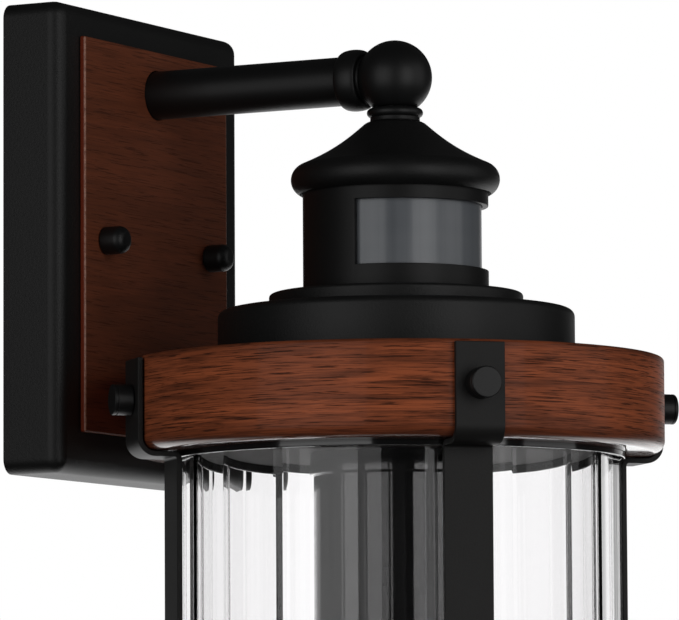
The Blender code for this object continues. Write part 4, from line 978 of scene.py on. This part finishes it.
low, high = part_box("lamp_tube")
band = half_width(low, high)
tube = band - TUBE_STEP
inner = tube - SHEET
band_foot = high.z - TUBE_BAND
outline = [(STEM_HOLE, high.z - SHEET), (inner, high.z - SHEET)]
outline += curve(inner + ROLL, low.z + ROLL, ROLL, 180, 270, 4)
outline += curve(tube - ROLL, low.z + ROLL, ROLL, -90, 0, 4)
outline += [(tube, band_foot - 0.0005), (tube + 0.0005, band_foot)]
outline += curve(band - ROLL, band_foot + ROLL, ROLL, -90, 0, 4)
outline += curve(band - ROLL, high.z - ROLL, ROLL, 0, 90, 4) + [(STEM_HOLE, high.z)]
sleeve = turned("gloss_tube", closed(outline), steps=160)
hand_over(sleeve, gloss_black, "powder_black", "lamp_tube")


# ---------------------------------------------------------------- lamp holder
# Glazed white porcelain round a threaded brass shell, with a sprung brass contact at its top. It
# screws on the end of the stem inside the tube.

SOCKET_BORE = 0.0145
SOCKET_ROOF = 0.011                  # from the socket's inner end to the holder's top
STEM_DEPTH = 0.0073
LEAD_HOLE = 0.0023
SOFT_EDGE = 0.0015

glaze, skin, here = new_finish("white_glaze", Coat_Weight=0.8, Coat_Roughness=0.05)
mottle = here.noise(130.0, 3.0)
join(skin, Base_Color=mottle.between(0.3, 0.7).mix((0.66, 0.63, 0.57), (0.76, 0.74, 0.69)),
     Roughness=0.22 + mottle * 0.1)

low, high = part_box("lamp_holder")
soft_from = half_width(low, high) - SOFT_EDGE
outline = [(LEAD_HOLE, high.z - SOCKET_ROOF), (SOCKET_BORE, high.z - SOCKET_ROOF), (SOCKET_BORE, low.z)]
outline += curve(soft_from, low.z + SOFT_EDGE, SOFT_EDGE, -90, 0, 6)
outline += curve(soft_from, high.z - SOFT_EDGE, SOFT_EDGE, 0, 90, 6)
outline += [(STEM_HOLE, high.z), (STEM_HOLE, high.z - STEM_DEPTH), (LEAD_HOLE, high.z - STEM_DEPTH)]
porcelain = turned("porcelain_holder", closed(outline), steps=96)
hand_over(porcelain, glaze, "porcelain", "lamp_holder")

brass = plated("warm_brass", (0.42, 0.27, 0.09), (0.66, 0.46, 0.19), 0.26, 1800.0)
dress(brass, "holder_shell", "holder_contact")


# ---------------------------------------------------------------- bulb
# A clear round bulb with a screw base, a solder-tipped contact, a glass stem and two upright LED
# filaments. It is one body that turns in the holder.

BASE_PITCH = 0.0036
BULB_RADIUS = 0.030
BULB_NECK = 0.012
BULB_SKIN = 0.001
SOLDER_TIP = 0.0052
POST_RADIUS = 0.0015
POST_FLARE = 0.0045                  # how much wider the stem's root is
FLARE_FROM = 0.022
WIRE_END = 0.0003
WIRE_LENGTH = 0.002

low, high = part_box("bulb_base")
base = half_width(low, high)
outline = [(0.0055, high.z - 0.0006), (0.0055, high.z), (base - 0.0018, high.z)]
outline += curve(base - 0.0018, high.z - 0.0013, 0.0013, 90, 20, 4)
outline += threaded(high.z - 0.0035, low.z + 0.0015, base, BASE_PITCH, 0.0008)
outline += [(base - 0.0002, low.z), (base - 0.0010, low.z), (base - 0.0010, high.z - 0.004),
            (0.0075, high.z - 0.0006)]
cap_shell = turned("screw_base", closed(outline), steps=64)
nickel = plated("nickel_plating", (0.50, 0.49, 0.46), (0.72, 0.70, 0.66), 0.24, 1500.0)
hand_over(cap_shell, nickel, "brass", "bulb_base", body="bulb", angle=60)

low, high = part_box("bulb_contact")
outline = [(0, low.z), (SOLDER_TIP, low.z), (SOLDER_TIP, low.z + 0.002), (SOLDER_TIP - 0.0004, low.z + 0.004),
           (0.0030, high.z - 0.0008), (0.0022, high.z - 0.0002), (0, high.z)]
contact = turned("solder_tip", outline, steps=48)
solder = plated("dull_solder", (0.24, 0.24, 0.24), (0.42, 0.42, 0.41), 0.45, 900.0)
hand_over(contact, solder, "solder", "bulb_contact", body="bulb")

low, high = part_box("bulb_glass")
centre = low.z + BULB_RADIUS
neck_foot = high.z - 0.0063
swell = []
for step in range(0, 22):
    t = step / 22
    widening = (BULB_RADIUS - BULB_NECK) * (1 - cos(pi * t)) / 2
    swell.append((BULB_NECK + widening, neck_foot + (centre - neck_foot) * t))
outer_line = [(BULB_NECK, high.z)] + swell + curve(0, centre, BULB_RADIUS, 0, -88, 26) + [(0, low.z)]
inner_line = [(0, low.z + BULB_SKIN)] + curve(0, centre, BULB_RADIUS - BULB_SKIN, -88, 0, 26)
inner_line += [(radius - BULB_SKIN, height) for radius, height in reversed(swell)]
inner_line.append((BULB_NECK - BULB_SKIN, high.z))
globe = turned("globe", inner_line + outer_line, steps=96)
thin_glass, skin, here = new_finish("clear_blown_glass", Base_Color=(0.99, 0.99, 0.98, 1), IOR=1.46,
                                    Transmission_Weight=1.0)
join(skin, Roughness=here.noise(90.0).between(0.5, 0.85, 0.0, 0.04))
hand_over(globe, thin_glass, "bulb_glass", "bulb_glass", body="bulb", angle=60)

low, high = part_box("bulb_stem")
outline = [(0, low.z), (POST_RADIUS - 0.0003, low.z), (POST_RADIUS, low.z + 0.0006)]
flare_foot, flare_top = low.z + FLARE_FROM, high.z - 0.004
for step in range(0, 13):
    t = step / 12
    outline.append((POST_RADIUS + POST_FLARE * t ** 2.2, flare_foot + (flare_top - flare_foot) * t))
outline += [(POST_RADIUS + POST_FLARE, high.z), (0, high.z)]
post = turned("stem_post", outline, steps=48)
hand_over(post, thin_glass, "bulb_glass", "bulb_stem", body="bulb", angle=60)

phosphor, skin, here = new_finish("yellow_phosphor")
dots = here.node("TexVoronoi", {}, {"Vector": here, "Scale": 900.0})
join(skin, Base_Color=dots.between(0.1, 0.6).mix((0.85, 0.50, 0.08), (0.90, 0.66, 0.22)),
     Roughness=0.45 + dots * 0.1)
for number in (1, 2):
    low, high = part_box("bulb_filament_%d" % number)
    stick = half_width(low, high)
    foot, top = low.z + WIRE_LENGTH, high.z - WIRE_LENGTH
    outline = [(0, low.z), (WIRE_END, low.z), (WIRE_END, foot), (stick, foot), (stick, top), (WIRE_END, top),
               (WIRE_END, high.z), (0, high.z)]
    filament = turned("led_stick_%d" % number, outline, ((low.x + high.x) / 2, LANTERN_AXIS_Y, 0), steps=16)
    hand_over(filament, phosphor, "filament", "bulb_filament_%d" % number, body="bulb")
